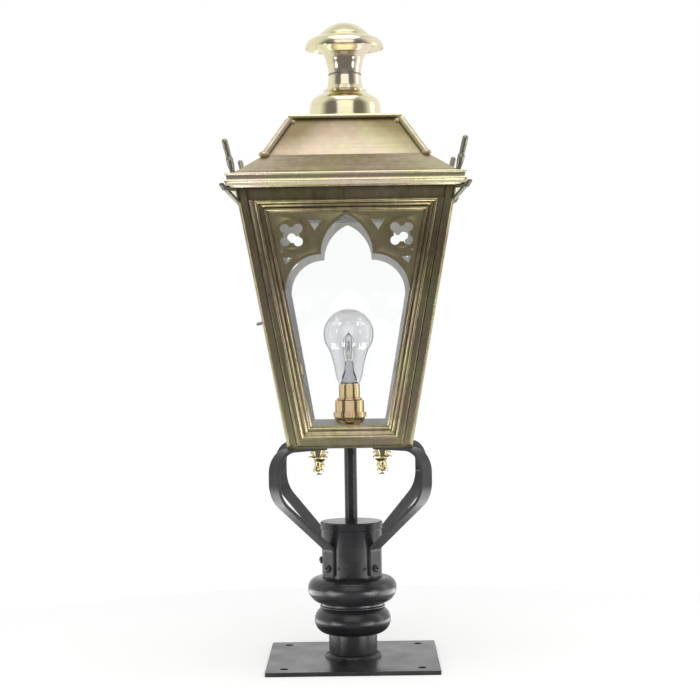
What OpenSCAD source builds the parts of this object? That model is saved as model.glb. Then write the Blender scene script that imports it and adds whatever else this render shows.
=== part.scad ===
// Pillar lantern on a bolt-down pedestal.
// Millimetres, +Z up, origin at the centre of the underside of the base plate.
// The front of the lantern faces -Y and the door is the left wall.

/* [Pedestal] */
// Side of the square base plate
plate_side = 203; // [180:1:260]
// Thickness of the base plate
plate_t = 5; // [4:0.5:10]
// Corner radius of the base plate
plate_corner_r = 2; // [1:0.5:8]
// Distance between the bolt holes, the same both ways
bolt_spacing = 160; // [130:1:165]
// Diameter of the bolt holes
bolt_hole_d = 10; // [6:0.5:14]
// Diameter of the cable entry in the base plate
cable_entry_d = 25; // [15:1:32]
// Outside diameter of the pedestal neck
neck_d = 58; // [50:1:64]
// Diameter of the bore through the neck and the turned rings
pedestal_bore_d = 40; // [30:1:44]
// Radial size of the weld bead round the foot of the neck
weld_r = 5; // [2:0.5:8]
// Height of the neck between the plate and the lower ring
neck_h = 28; // [20:1:60]
// Largest diameter of the lower ring
lower_ring_d = 91.4; // [84:0.2:110]
// Diameter of the waist between the two rings
waist_d = 75; // [70:1:80]
// Height of the lower ring
lower_ring_h = 36.4; // [34:0.2:44]
// Largest diameter of the upper ring
upper_ring_d = 106.4; // [96:0.2:124]
// Height of the lower, slower curve of the upper ring
upper_ring_swell_h = 19.2; // [17:0.2:22]
// Height of the upper, tighter curve of the upper ring
upper_ring_shoulder_h = 12.7; // [10:0.1:16]
// Outside diameter of the collar
collar_d = 72; // [68:1:76]
// Height of the collar with its cap
collar_h = 66.5; // [60:0.5:90]
// Wall of the collar tube
collar_wall = 5; // [3:0.5:8]
// How far the cap of the collar stands out of its tube
collar_cap_lip = 1.3; // [0.5:0.1:3]
// Height of the cap of the collar
collar_cap_h = 10; // [6:0.5:16]

/* [Bracket] */
// Width of the flat bar of the arms
arm_w = 16; // [10:1:20]
// Thickness of the flat bar of the arms
arm_t = 4; // [3:0.5:6]
// Height of the upright foot of each arm below its bend
arm_foot_h = 32; // [28:0.5:38]
// Rise of each arm foot above the foot of the collar
arm_foot_rise = 4; // [2:0.5:10]
// Slope of the arms above the horizontal
arm_slope = 37.8; // [30:0.1:45]
// Distance from the axis to the centre line of the arms at their widest
arm_reach = 123.6; // [112:0.2:132]
// Radius of the lower bend of the arms
arm_elbow_r = 35; // [25:1:45]
// Radius of the top bend of the arms
arm_top_r = 26; // [18:1:32]
// Radius of the bend above each arm foot
arm_bend_r = 8; // [6:0.5:12]
// Height of the arm screws above the foot of each arm
arm_screw_rise = 8.5; // [6:0.5:14]
// Diameter of the heads of the arm screws
arm_screw_head_d = 8.6; // [7:0.2:12]
// Shank diameter of the arm screws
arm_screw_d = 5; // [3:0.5:6]
// Diameter of the stem tube
stem_d = 15; // [12:0.5:20]
// Wall of the stem tube
stem_wall = 1.5; // [1:0.25:2]

/* [Lantern body] */
// Height of the underside of the lantern body
body_foot_z = 260; // [254:1:300]
// Width of the body at its foot
foot_w = 145; // [138:0.2:160]
// Width of the body at its head
head_w = 251.2; // [236:0.2:266]
// Height of the body from foot to eave
body_h = 300; // [280:1:330]
// Thickness of the base tray
tray_t = 2; // [1.5:0.5:4]
// Radius of the rounded edge of the corner posts
post_r = 4.5; // [3:0.25:4.5]
// Width of each leg of the corner posts
post_leg = 11; // [9.5:0.25:13]
// Wall of the corner posts and the top rails
post_t = 3; // [2:0.25:3.5]
// Height of the frieze above the panels
frieze_h = 14; // [10:0.5:20]
// Depth of the panel frames, from face to back
frame_depth = 9; // [8:0.5:11]
// Distance from the corner of the body to the glass opening
opening_inset = 33; // [32:0.5:40]
// Width of the mitred moulding round each opening
moulding_w = 15.5; // [15:0.5:17]
// Height of the plain band of each panel frame below its moulding
sill_band = 8.2; // [5:0.2:14]
// Thickness of the glass panes
glass_t = 3; // [2:0.5:4]
// Overlap of the glass behind the moulding
glass_lap = 8; // [5:0.5:10]
// Clearance all round the door
door_gap = 0.4; // [0.3:0.1:1]
// Width of the joint lines at the mitres of the frames
mitre_gap = 0.05; // [0.02:0.01:0.2]

/* [Fret] */
// Thickness of the pierced frets
fret_t = 2; // [1.5:0.25:3]
// Half the width of the pointed arch between its cusps
arch_half = 29.6; // [24:0.2:34]
// Rise of the pointed arch above its cusps
arch_rise = 45; // [40:0.5:50]
// Metal left between the arch and the head of the opening
arch_gap = 3; // [2:0.5:6]
// Height of the side arcs between the cusp and the wall of the opening
foil_drop = 41; // [37:0.5:46]
// Width of the raised rib along the arch
rib_w = 3.2; // [2:0.2:5]
// Height of the raised ribs on the frets
rib_h = 0.9; // [0.5:0.1:1.4]
// Outer radius of the roundels
roundel_r = 18.5; // [16:0.5:20]
// Radius of each lobe of the four-lobed holes
lobe_r = 5.4; // [4:0.2:6]
// Distance from the centre of a roundel to the centres of its lobes
lobe_offset = 10.8; // [9:0.1:11]

/* [Roof] */
// How far the eave stands out past the head of the body
eave_overhang = 11.3; // [10:0.1:20]
// Height of the eave moulding
eave_h = 16.4; // [14:0.2:22]
// Distance from the edge of the eave in to the foot of the skirt
skirt_inset = 12.1; // [11.5:0.1:14]
// How far the skirt runs in from its foot to its head
skirt_run = 31.2; // [26:0.2:36]
// Rise of the skirt
skirt_rise = 20.9; // [14:0.1:28]
// How far the hood runs in from its foot to its head
hood_run = 29.6; // [24:0.2:34]
// Rise of the hood from the skirt to the crown
hood_rise = 44.9; // [36:0.1:60]
// Thickness of the roof sheets
roof_t = 2; // [1.5:0.25:3]
// Radius of the beads along the hips
hip_r = 4; // [3:0.25:5]
// How far the rolled edge of the crown stands out past the hood
crown_lip = 4.4; // [3:0.2:8]
// Height of the crown
crown_h = 4.8; // [4:0.2:7]

/* [Finial] */
// Radius of the flange of the finial
finial_flange_r = 45; // [43:0.5:50]
// Height of the base of the finial: its dome and the neck above
finial_base_h = 53.6; // [46:0.2:64]
// Height of the trumpet-shaped vase above the base
finial_vase_h = 42.7; // [38:0.1:54]
// Radius of the neck of the finial
finial_neck_r = 19.3; // [17:0.1:22]
// Radius of the vase under the brim
finial_vase_r = 36; // [33:0.2:39]
// Outer radius of the brim
brim_r = 47.1; // [44:0.1:56]
// Height of the upright rim of the brim
rim_h = 9.6; // [6:0.2:12]
// Rise of the cap above the seat of the brim
cap_h = 19; // [15:0.2:28]
// Diameter of the tie rod through the finial
tie_rod_d = 8; // [6:0.5:12]

/* [Corner fittings] */
// Length of the corner spires
spire_h = 40.5; // [30:0.5:60]
// Lean of the corner spires away from the roof
spire_lean = 18.5; // [8:0.5:24]
// Largest radius of the corner spires
spire_r = 4; // [3:0.1:5.5]
// Width of the strip of the corner straps
strap_w = 5; // [4:0.5:12]
// Thickness of the strip of the corner straps
strap_t = 3.5; // [2:0.25:4]

/* [Lamp] */
// Diameter of the bulb
bulb_d = 60.6; // [50:0.2:66]
// Height of the lamp holder above the tray
holder_h = 70; // [66:0.5:90]
// Length of the bulb from the holder to its crown
bulb_reach = 90.8; // [84:0.2:104]
// Diameter of the body of the lamp holder
holder_d = 34.8; // [32:0.2:38]

/* [Moving parts] */
// Length of each door hinge
hinge_len = 30; // [24:1:40]
// Diameter of the hinge pins
hinge_pin_d = 3; // [2:0.25:3.5]
// Outside diameter of the hinge knuckles
knuckle_d = 4.8; // [4.6:0.1:6]
// Running clearance of the pins and the latch spindle
pin_play = 0.05; // [0.02:0.01:0.1]
// Reach of the latch knob out of the door
knob_reach = 9; // [6:0.5:12]

/* [Hidden] */
$fn = 64;

BRASS = "#8a7a4a";
POLISHED = "#c9a24a";
PAINT = "#1c1d20";

FRONT = 0;
RIGHT = 1;
REAR = 2;
LEFT = 3;

// Small overlap of cutting shapes past the faces that they cut
cut = 1;
// Clearance of a bolt or a rod in its hole
hole_play = 0.2;

// Heights up the pedestal
lower_ring_z = plate_t + neck_h;
upper_ring_z = lower_ring_z + lower_ring_h;
collar_z = upper_ring_z + upper_ring_swell_h + upper_ring_shoulder_h;
collar_top_z = collar_z + collar_h;
collar_cap_z = collar_top_z - collar_cap_h;

// Heights up the lantern
sill_z = body_foot_z + tray_t;
eave_z = body_foot_z + body_h;
frieze_z = eave_z - frieze_h;
skirt_z = eave_z + eave_h;
hood_z = skirt_z + roof_t + skirt_rise;
crown_z = hood_z + hood_rise;
finial_z = crown_z + crown_h;
vase_z = finial_z + finial_base_h;
brim_z = vase_z + finial_vase_h;

// Half widths of the roof, from the eave in to the crown
eave_half = head_w / 2 + eave_overhang;
skirt_foot_half = eave_half - skirt_inset;
skirt_head_half = skirt_foot_half - skirt_run;
// The hood stands inside the head of the skirt
hood_foot_half = skirt_head_half - 2;
hood_head_half = hood_foot_half - hood_run;
crown_half = hood_head_half + crown_lip;

// The walls lean outwards by this angle
lean = atan((head_w - foot_w) / 2 / body_h);
// Widening of a wall for each unit up its slope
flare = sin(lean);
// Length along a slanted edge or across a slanted strip for each unit square to the base
slant = sqrt(1 + flare * flare);

// Half width of the body at a height
function wall_half(z) = foot_w / 2 + (z - body_foot_z) * tan(lean);
// Distance up the slope of a wall, from the sill, of a height
function up_wall(z) = (z - sill_z) / cos(lean);
// Half width of a wall, up its slope, at an inset from its slanted edge
function edge_x(v, inset) = wall_half(sill_z) + flare * v - inset * slant;

// Puts the children on a wall: X across it, Y up its slope, Z out of it
module on_wall(side) {
    rotate([0, 0, 90 * side])
        translate([0, -wall_half(sill_z), sill_z])
            rotate([90 + lean, 0, 0])
                children();
}

// Points of a smooth curve through the points of a list
function smooth(p, steps) = [
    for (i = [0 : len(p) - 2], j = [0 : steps - 1])
        let (
            a = p[max(i - 1, 0)],
            b = p[i],
            c = p[i + 1],
            d = p[min(i + 2, len(p) - 1)],
            t = j / steps
        )
        b + (c - a) * t / 2 + (2 * a - 5 * b + 4 * c - d) * t * t / 2
            + (3 * b - a - 3 * c + d) * t * t * t / 2,
    p[len(p) - 1]
];

// A four-sided outline on a wall between two heights, at an inset from the slanted edges
function wall_outline(inset, v0, v1) = [
    [-edge_x(v0, inset), v0], [-edge_x(v1, inset), v1],
    [edge_x(v1, inset), v1], [edge_x(v0, inset), v0]
];

// A square ring whose cross-section is the child, drawn as [distance from the axis, height]
module square_ring(half) {
    for (side = [FRONT : LEFT])
        rotate([0, 0, 90 * side])
            intersection() {
                translate([half, 0, 0])
                    rotate([0, 0, 180])
                        rotate([90, 0, 90])
                            linear_extrude(2 * half)
                                mirror([1, 0])
                                    children();
                ring_quarter(half);
            }
}

// The quarter of space that one side of a square ring lies in
module ring_quarter(half) {
    linear_extrude(eave_z + 2 * half)
        polygon([[0, 0], [-half, half], [half, half]]);
}

/* Pedestal */

module base_plate() {
    inner = plate_side / 2 - plate_corner_r;
    color(PAINT)
        difference() {
            linear_extrude(plate_t)
                union() {
                    square([plate_side, 2 * inner], center = true);
                    square([2 * inner, plate_side], center = true);
                    for (x = [-inner, inner], y = [-inner, inner])
                        translate([x, y]) circle(plate_corner_r);
                }
            for (x = [-1, 1], y = [-1, 1])
                translate([x * bolt_spacing / 2, y * bolt_spacing / 2, -cut])
                    cylinder(d = bolt_hole_d, h = plate_t + 2 * cut);
            translate([0, 0, -cut])
                cylinder(d = cable_entry_d, h = plate_t + 2 * cut);
        }
}

module pedestal_neck() {
    color(PAINT)
        rotate_extrude()
            difference() {
                union() {
                    translate([0, plate_t]) square([neck_d / 2, neck_h]);
                    translate([neck_d / 2, plate_t]) circle(weld_r);
                }
                translate([-cut, plate_t - 2 * weld_r]) square([neck_d, 2 * weld_r]);
                translate([-cut, 0]) square([pedestal_bore_d / 2 + cut, lower_ring_z + cut]);
            }
}

// The lower ring is a half round with a stepped shoulder that rises to the waist
module lower_ring() {
    swell = 17;
    step_h = 3.4;
    middle = lower_ring_z + swell;
    core = lower_ring_d / 2 - swell;
    color(PAINT)
        rotate_extrude()
            difference() {
                union() {
                    translate([core, middle]) circle(swell);
                    translate([0, lower_ring_z]) square([core, lower_ring_h]);
                    translate([0, middle]) square([waist_d / 2, lower_ring_h - swell]);
                    translate([waist_d / 2, upper_ring_z - step_h]) circle(1.6);
                    translate([core + swell - 3.6, middle + step_h * 2]) circle(1.5);
                }
                translate([core + swell - 2.2, middle + step_h * 1.2]) circle(0.9);
                translate([-cut, 0]) square([pedestal_bore_d / 2 + cut, upper_ring_z + cut]);
                translate([0, upper_ring_z]) square(lower_ring_d);
            }
}

// The upper ring swells slowly from the waist and turns in quickly to the collar
module upper_ring() {
    widest_z = upper_ring_z + upper_ring_swell_h;
    out = upper_ring_d / 2;
    color(PAINT)
        rotate_extrude()
            difference() {
                union() {
                    intersection() {
                        translate([out - upper_ring_swell_h, widest_z]) circle(upper_ring_swell_h);
                        translate([0, upper_ring_z]) square([out, upper_ring_swell_h]);
                    }
                    intersection() {
                        translate([out - upper_ring_shoulder_h, widest_z]) circle(upper_ring_shoulder_h);
                        translate([0, widest_z]) square([out, upper_ring_shoulder_h]);
                    }
                    translate([0, upper_ring_z])
                        square([out - upper_ring_swell_h, upper_ring_swell_h + upper_ring_shoulder_h]);
                    translate([0, widest_z])
                        square([out - upper_ring_shoulder_h, upper_ring_shoulder_h]);
                    translate([0, upper_ring_z]) square([waist_d / 2, upper_ring_swell_h / 2]);
                }
                translate([-cut, 0]) square([pedestal_bore_d / 2 + cut, collar_z + cut]);
            }
}

module bracket_collar() {
    bore_d = collar_d - 2 * collar_wall;
    edge = 1.2;
    lip_r = collar_d / 2 + collar_cap_lip;
    color(PAINT)
        difference() {
            rotate_extrude()
                polygon([
                    [0, collar_z], [collar_d / 2, collar_z], [collar_d / 2, collar_cap_z],
                    [lip_r, collar_cap_z + collar_cap_lip], [lip_r, collar_top_z - edge],
                    [lip_r - edge, collar_top_z], [0, collar_top_z]
                ]);
            translate([0, 0, collar_z - cut])
                cylinder(d = bore_d, h = collar_cap_z - collar_z + cut);
            cylinder(d = stem_d + 2 * hole_play, h = collar_top_z + cut);
            for (azimuth = arm_azimuths)
                arm_screw_place(azimuth)
                    rotate([0, 90, 0])
                        translate([0, 0, -2 * collar_wall])
                            cylinder(d = arm_screw_d + hole_play, h = 3 * collar_wall);
            for (azimuth = set_screw_azimuths)
                set_screw_place(azimuth)
                    cylinder(d = set_screw_d + hole_play, h = 3 * collar_wall, center = true);
            clamp_screw_place()
                cylinder(d = arm_screw_d + hole_play, h = 3 * collar_wall, center = true);
        }
}

/* Collar screws */

set_screw_d = 5;
set_screw_azimuths = [-66, -114, 66, 114];
arm_azimuths = [-135, -45, 135, 45];
clamp_screw_rise = 20;

module set_screw_place(azimuth) {
    rotate([0, 0, azimuth])
        translate([0, 0, arm_foot_z + arm_screw_rise])
            rotate([0, 90, 0])
                translate([0, 0, collar_d / 2])
                    children();
}

module clamp_screw_place() {
    rotate([0, 0, 180])
        translate([0, 0, collar_z + clamp_screw_rise])
            rotate([0, 90, 0])
                translate([0, 0, collar_d / 2])
                    children();
}

// The grub screws sit just under the face of the collar
module collar_set_screws() {
    sunk = 1;
    length = collar_wall + 1;
    hex = 2.5;
    color(PAINT)
        for (azimuth = set_screw_azimuths)
            set_screw_place(azimuth)
                translate([0, 0, -sunk - length])
                    difference() {
                        cylinder(d = set_screw_d, h = length);
                        translate([0, 0, length - 2])
                            cylinder(d = hex, h = 2 + cut, $fn = 6);
                    }
}

// A screw with a round head that has a hexagon socket, head outwards along +Z
module button_screw(head_d, shank_d, length) {
    head_h = head_d * 0.42;
    dome_r = head_d * 0.62;
    socket = head_d * 0.42;
    translate([0, 0, -length]) cylinder(d = shank_d, h = length);
    difference() {
        intersection() {
            cylinder(d = head_d, h = head_h);
            translate([0, 0, head_h - dome_r]) sphere(dome_r);
        }
        translate([0, 0, head_h * 0.35]) cylinder(d = socket, h = head_h, $fn = 6);
    }
}

module clamp_screw() {
    color(PAINT)
        clamp_screw_place() button_screw(arm_screw_head_d, arm_screw_d, collar_wall + 2);
}

/* Bracket arms */

arm_foot_z = collar_z + arm_foot_rise;
// Centre line radius of the upright foot, which lies against the collar
arm_foot_r = collar_d / 2 + arm_t / 2;
// Length of the tangent of the bend above the foot
arm_bend_run = arm_bend_r * tan((90 - arm_slope) / 2);
arm_knee_z = arm_foot_z + arm_foot_h;
arm_top_z = body_foot_z - arm_t / 2;
// Centre of the elbow where the slope turns upright
elbow_x = arm_reach - arm_elbow_r;
elbow_start_x = elbow_x + arm_elbow_r * sin(arm_slope);
elbow_start_z = arm_knee_z + (elbow_start_x - arm_foot_r) * tan(arm_slope);
elbow_z = elbow_start_z + arm_elbow_r * cos(arm_slope);
// The top bend ends under the tray and starts above the elbow
top_bend_r = min(arm_top_r, arm_top_z - elbow_z);
top_bend_z = arm_top_z - top_bend_r;
// The arms end past the studs under the tray
stud_xy = 38;
stud_d = 6;
arm_end_r = stud_xy * sqrt(2) - arm_w / 2;

// A curved stretch of flat bar seen edge on, a hair longer than its angle so that it joins
module bent_band(centre, r, t, from, to) {
    seam = 0.5;
    far = 3 * r;
    middle = (from + to) / 2;
    translate(centre)
        intersection() {
            difference() {
                circle(r + t / 2);
                circle(r - t / 2);
            }
            polygon([
                [0, 0], far * [cos(from - seam), sin(from - seam)],
                far * [cos(middle), sin(middle)], far * [cos(to + seam), sin(to + seam)]
            ]);
        }
}

// A straight stretch of flat bar seen edge on, between two points of its centre line
module straight_band(p, q, t) {
    run = norm(q - p);
    translate(p)
        rotate(atan2(q[1] - p[1], q[0] - p[0]))
            translate([0, -t / 2]) square([run, t]);
}

// The side view of an arm: X is the distance from the axis, Y is the height
module arm_outline() {
    bend_x = arm_foot_r + arm_bend_r;
    bend_z = arm_knee_z - arm_bend_run;
    bend_end = [arm_foot_r, arm_knee_z] + arm_bend_run * [cos(arm_slope), sin(arm_slope)];
    straight_band([arm_foot_r, arm_foot_z], [arm_foot_r, bend_z], arm_t);
    bent_band([bend_x, bend_z], arm_bend_r, arm_t, 90 + arm_slope, 180);
    straight_band(bend_end, [elbow_start_x, elbow_start_z], arm_t);
    bent_band([elbow_x, elbow_z], arm_elbow_r, arm_t, arm_slope - 90, 0);
    straight_band([arm_reach, elbow_z], [arm_reach, top_bend_z], arm_t);
    bent_band([arm_reach - top_bend_r, top_bend_z], top_bend_r, arm_t, 0, 90);
    straight_band([arm_end_r, arm_top_z], [arm_reach - top_bend_r, arm_top_z], arm_t);
}

module arm_screw_place(azimuth) {
    rotate([0, 0, azimuth])
        translate([arm_foot_r + arm_t / 2, 0, arm_foot_z + arm_screw_rise])
            children();
}

module arm(azimuth) {
    color(PAINT)
        difference() {
            rotate([0, 0, azimuth])
                rotate([90, 0, 0])
                    linear_extrude(arm_w, center = true)
                        arm_outline();
            arm_screw_place(azimuth)
                rotate([0, 90, 0])
                    cylinder(d = arm_screw_d + hole_play, h = 3 * arm_t, center = true);
            rotate([0, 0, azimuth])
                translate([stud_xy * sqrt(2), 0, arm_top_z - arm_t])
                    cylinder(d = stud_d + 2 * hole_play, h = 2 * arm_t);
        }
}

module arm_front_left() { arm(-135); }
module arm_front_right() { arm(-45); }
module arm_rear_left() { arm(135); }
module arm_rear_right() { arm(45); }

module arm_screws() {
    color(PAINT)
        for (azimuth = arm_azimuths)
            arm_screw_place(azimuth)
                rotate([0, 90, 0])
                    button_screw(arm_screw_head_d, arm_screw_d, arm_t + collar_wall + 1);
}

/* Stem */

stem_foot_z = collar_cap_z - 12;
// The upper end of the stem is turned down to a spigot that passes through the tray
spigot_d = 10;
spigot_top_z = sill_z + 8;
spigot_bore_d = 7;

module stem_tube() {
    color(PAINT)
        rotate_extrude()
            polygon([
                [stem_d / 2 - stem_wall, stem_foot_z], [stem_d / 2, stem_foot_z],
                [stem_d / 2, body_foot_z], [spigot_d / 2, body_foot_z],
                [spigot_d / 2, spigot_top_z], [spigot_bore_d / 2, spigot_top_z],
                [spigot_bore_d / 2, body_foot_z - stem_wall],
                [stem_d / 2 - stem_wall, body_foot_z - stem_wall]
            ]);
}

// A hexagon nut with a clear bore, seated at z and rising by h
module hex_nut(across, bore_d, h) {
    difference() {
        cylinder(d = across / cos(30), h = h, $fn = 6);
        translate([0, 0, -cut]) cylinder(d = bore_d, h = h + 2 * cut);
    }
}

module stem_locknuts() {
    h = 6;
    color(BRASS) {
        translate([0, 0, collar_cap_z - h])
            hex_nut(24, stem_d + hole_play, h);
        translate([0, 0, sill_z])
            hex_nut(19, spigot_d + hole_play, h);
    }
}

/* Lantern foot */

module at_studs() {
    for (x = [-1, 1], y = [-1, 1])
        translate([x * stud_xy, y * stud_xy, 0])
            children();
}

module base_tray() {
    color(BRASS)
        difference() {
            translate([0, 0, body_foot_z])
                linear_extrude(tray_t)
                    square(2 * wall_half(sill_z), center = true);
            translate([0, 0, body_foot_z - cut])
                cylinder(d = spigot_d + 2 * hole_play, h = tray_t + 2 * cut);
            at_studs()
                translate([0, 0, body_foot_z - cut])
                    cylinder(d = stud_d + 2 * hole_play, h = tray_t + 2 * cut);
        }
}

stud_nut_h = 5;
base_finial_top_z = body_foot_z - arm_t;
base_finial_h = 28.8;
// How far the studs reach into the turned nuts
stud_reach = 11;
stud_foot_z = base_finial_top_z - stud_reach;

module base_studs() {
    tip = 2;
    color(POLISHED)
        at_studs()
            translate([0, 0, stud_foot_z])
                cylinder(d = stud_d, h = sill_z + stud_nut_h + tip - stud_foot_z);
}

module base_stud_nuts() {
    color(BRASS)
        at_studs()
            translate([0, 0, sill_z])
                hex_nut(10, stud_d + hole_play, stud_nut_h);
}

// A turned nut: a collar, a short barrel, a cupped flange, a neck and a ball with a small tip
module base_finials() {
    ball_r = 6.4;
    flange_r = 11.3;
    flange_drop = 8.8;
    ball_drop = 24.1;
    color(POLISHED)
        at_studs()
            translate([0, 0, base_finial_top_z])
                difference() {
                    rotate_extrude()
                        intersection() {
                            union() {
                                translate([0, -1.6]) square([9, 1.6]);
                                translate([0, -4.6]) square([7.6, 4.6]);
                                translate([0, -flange_drop]) square([6.2, flange_drop]);
                                translate([0, -flange_drop - 1.6]) square([flange_r - 1.6, 3.2]);
                                translate([flange_r - 1.6, -flange_drop]) circle(1.6);
                                polygon([
                                    [0, -flange_drop], [flange_r - 1, -flange_drop - 1.4],
                                    [6.6, -flange_drop - 5], [3.4, -flange_drop - 6.6],
                                    [3.4, -ball_drop], [0, -ball_drop]
                                ]);
                                translate([0, -ball_drop]) circle(ball_r);
                                translate([0, -base_finial_h]) square([1.6, 3]);
                            }
                            translate([0, -base_finial_h]) square(base_finial_h);
                        }
                    translate([0, 0, stud_foot_z - base_finial_top_z - cut])
                        cylinder(d = stud_d + hole_play, h = stud_reach + 2 * cut);
                }
}

/* Corner posts and top rails */

// One leg of a corner post, a flat strip along a slanted edge of a wall
module post_leg_on(side, hand) {
    on_wall(side)
        translate([0, 0, -post_t])
            linear_extrude(post_t)
                polygon([
                    [hand * edge_x(-post_leg, post_r), -post_leg],
                    [hand * edge_x(-post_leg, post_leg), -post_leg],
                    [hand * edge_x(up_wall(eave_z) + post_leg, post_leg), up_wall(eave_z) + post_leg],
                    [hand * edge_x(up_wall(eave_z) + post_leg, post_r), up_wall(eave_z) + post_leg]
                ]);
}

// The rounded edge of a corner post, touching both walls from inside
module post_edge(turn) {
    inset = post_r / cos(lean);
    below = post_leg;
    start = wall_half(body_foot_z - below) - inset;
    rise = body_h + 2 * below;
    lean_diagonal = atan(sqrt(2) * tan(lean));
    rotate([0, 0, 90 * turn])
        translate([start, -start, body_foot_z - below])
            rotate([0, 0, -45])
                rotate([0, lean_diagonal, 0])
                    cylinder(r = post_r, h = rise / cos(lean_diagonal));
}

// turn 0 is the front right corner, and each turn goes a quarter round, as seen from above
module corner_post(turn) {
    color(BRASS)
        intersection() {
            union() {
                post_edge(turn);
                post_leg_on(turn, 1);
                post_leg_on((turn + 1) % 4, -1);
            }
            translate([-head_w, -head_w, sill_z])
                cube([2 * head_w, 2 * head_w, eave_z - sill_z]);
        }
}

module post_front_right() { corner_post(0); }
module post_rear_right() { corner_post(1); }
module post_rear_left() { corner_post(2); }
module post_front_left() { corner_post(3); }

// Flat rails behind the frieze, between the round edges of the posts
module top_rails() {
    inner = 2 * post_t;
    head = up_wall(eave_z) - inner * tan(lean);
    color(BRASS)
        for (side = [FRONT : LEFT])
            on_wall(side)
                translate([0, 0, -inner])
                    linear_extrude(inner - post_t)
                        polygon(wall_outline(2 * post_r + hole_play, frame_top_v, head));
}

/* Panel frames, frets, glass and clips */

// A frame reaches from the sill to the top rails
frame_top_v = up_wall(frieze_z);
opening_v0 = sill_band + moulding_w;
opening_v1 = frame_top_v - moulding_w;

// Corner points of a line that runs at a distance outside the opening, clockwise from below left
function ring_line(out) = wall_outline(opening_inset - out, opening_v0 - out, opening_v1 + out);

// Cross-section of a frame bar: X runs outwards from the opening, Y out of the wall
module bar_section(width, edge_bead) {
    lip = 3;
    lip_y = -6;
    flat_y = -2;
    bead_r = 2;
    ridge_r = 1.9;
    edge_r = 1;
    cove_x = 5.6;
    cove_r = 6.5;
    difference() {
        translate([0, -frame_depth]) square([width, frame_depth + flat_y]);
        translate([-cut, lip_y]) square([cove_x + cut, 2 * cove_r]);
        translate([cove_x, lip_y + cove_r]) circle(cove_r);
    }
    translate([lip + 0.9, lip_y]) circle(bead_r);
    translate([moulding_w - 2.6, flat_y - 0.4]) circle(ridge_r);
    if (edge_bead)
        translate([width - edge_r, flat_y]) circle(edge_r);
}

// One bar of a frame: its section run past two corners of the opening, cut to an outline
module cut_bar(from, to, width, edge_bead, outline) {
    over = 2 * width;
    intersection() {
        translate([from[0], from[1], 0])
            rotate([0, 0, atan2(to[1] - from[1], to[0] - from[0])])
                translate([-over, 0, 0])
                    rotate([90, 0, 90])
                        linear_extrude(norm(to - from) + 2 * over)
                            bar_section(width, edge_bead);
        translate([0, 0, -2 * frame_depth])
            linear_extrude(3 * frame_depth)
                polygon(outline);
    }
}

// Two stiles and two rails, mitred round the opening, gap clear of the posts on every side
module panel_frame(side, gap) {
    v0 = gap;
    v1 = frame_top_v - gap;
    s = post_leg + gap;
    in = ring_line(0);
    out = ring_line(moulding_w - gap);
    left = [mitre_gap, 0];
    // The mitres of the bottom rail turn upright below its moulding
    foot = [out[0][0], v0];
    other_foot = [out[3][0], v0];
    color(BRASS)
        on_wall(side) {
            cut_bar(in[0], in[1], opening_inset - s, true,
                [in[0], in[1], out[1], [-edge_x(v1, s), v1], [-edge_x(v0, s), v0], foot, out[0]]);
            cut_bar(in[1], in[2], moulding_w - gap, false,
                [in[1] + left, out[1] + left, out[2] - left, in[2] - left]);
            cut_bar(in[2], in[3], opening_inset - s, true,
                [in[2], in[3], out[3], other_foot, [edge_x(v0, s), v0], [edge_x(v1, s), v1], out[2]]);
            cut_bar(in[3], in[0], opening_v0 - gap, false,
                [in[3] - left, out[3] - left, other_foot - left, foot + left, out[0] + left, in[0] + left]);
        }
}

module front_frame() { panel_frame(FRONT, 0); }
module right_frame() { panel_frame(RIGHT, 0); }
module rear_frame() { panel_frame(REAR, 0); }

// The head of the door is bevelled at the back, so that it swings out under the top rail
module door_frame() {
    head = frame_top_v - door_gap;
    bevel = 1.3 * flare * frame_depth;
    difference() {
        panel_frame(LEFT, door_gap);
        on_wall(LEFT) {
            latch_place()
                cylinder(d = latch_spindle_d + 2 * pin_play, h = 4 * frame_depth, center = true);
            rotate([90, 0, 90])
                linear_extrude(2 * head_w, center = true)
                    polygon([
                        [head, 0], [head + cut, 0], [head + cut, -frame_depth - cut],
                        [head - bevel * (1 + cut / frame_depth), -frame_depth - cut]
                    ]);
        }
    }
}

// The pointed arch: two arcs that meet at the head and end at the cusps
arch_r = (arch_half * arch_half + arch_rise * arch_rise) / (2 * arch_half);
cusp_v = opening_v1 - arch_gap - arch_rise;
foil_v = cusp_v - foil_drop;
// Shift of each side arc towards the axis from its cusp, so that it ends tangent to the opening
foil_room = edge_x(foil_v, opening_inset) - arch_half;
foil_shift = (foil_room - sqrt(foil_room * foil_room
    - flare * flare * (slant * slant * foil_drop * foil_drop - foil_room * foil_room))) / (flare * flare);
foil_x = arch_half - foil_shift;
foil_r = norm([foil_drop, foil_shift]);

// The open area under the fret; grow widens its arcs, which gives the line of the ribs
module arch_opening(grow) {
    intersection() {
        translate([arch_half - arch_r, cusp_v]) circle(arch_r + grow);
        translate([arch_r - arch_half, cusp_v]) circle(arch_r + grow);
        translate([-arch_r, foil_v]) square([2 * arch_r, 2 * arch_r]);
    }
    for (hand = [-1, 1])
        translate([hand * foil_x, foil_v]) circle(foil_r + grow);
}

roundel_v = opening_v1 - 25.8;
roundel_x = edge_x(opening_v1, opening_inset) - 24;

module roundel_hole() {
    circle(lobe_offset - 1.6);
    for (angle = [45 : 90 : 315])
        rotate(angle) translate([lobe_offset, 0]) circle(lobe_r);
}

// Three-cornered and round piercings that fill the spaces beside each roundel
module small_piercings() {
    polygon([[-19, 17.6], [-35.2, 17], [-26.6, 5]]);
    polygon([[10.8, -25.4], [-1, -26.2], [7.2, -34]]);
    translate([11.6, -18.6]) circle(1.3);
}

module fret_holes() {
    for (hand = [-1, 1])
        translate([hand * roundel_x, roundel_v])
            mirror([hand < 0 ? 1 : 0, 0]) {
                roundel_hole();
                small_piercings();
            }
}

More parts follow.
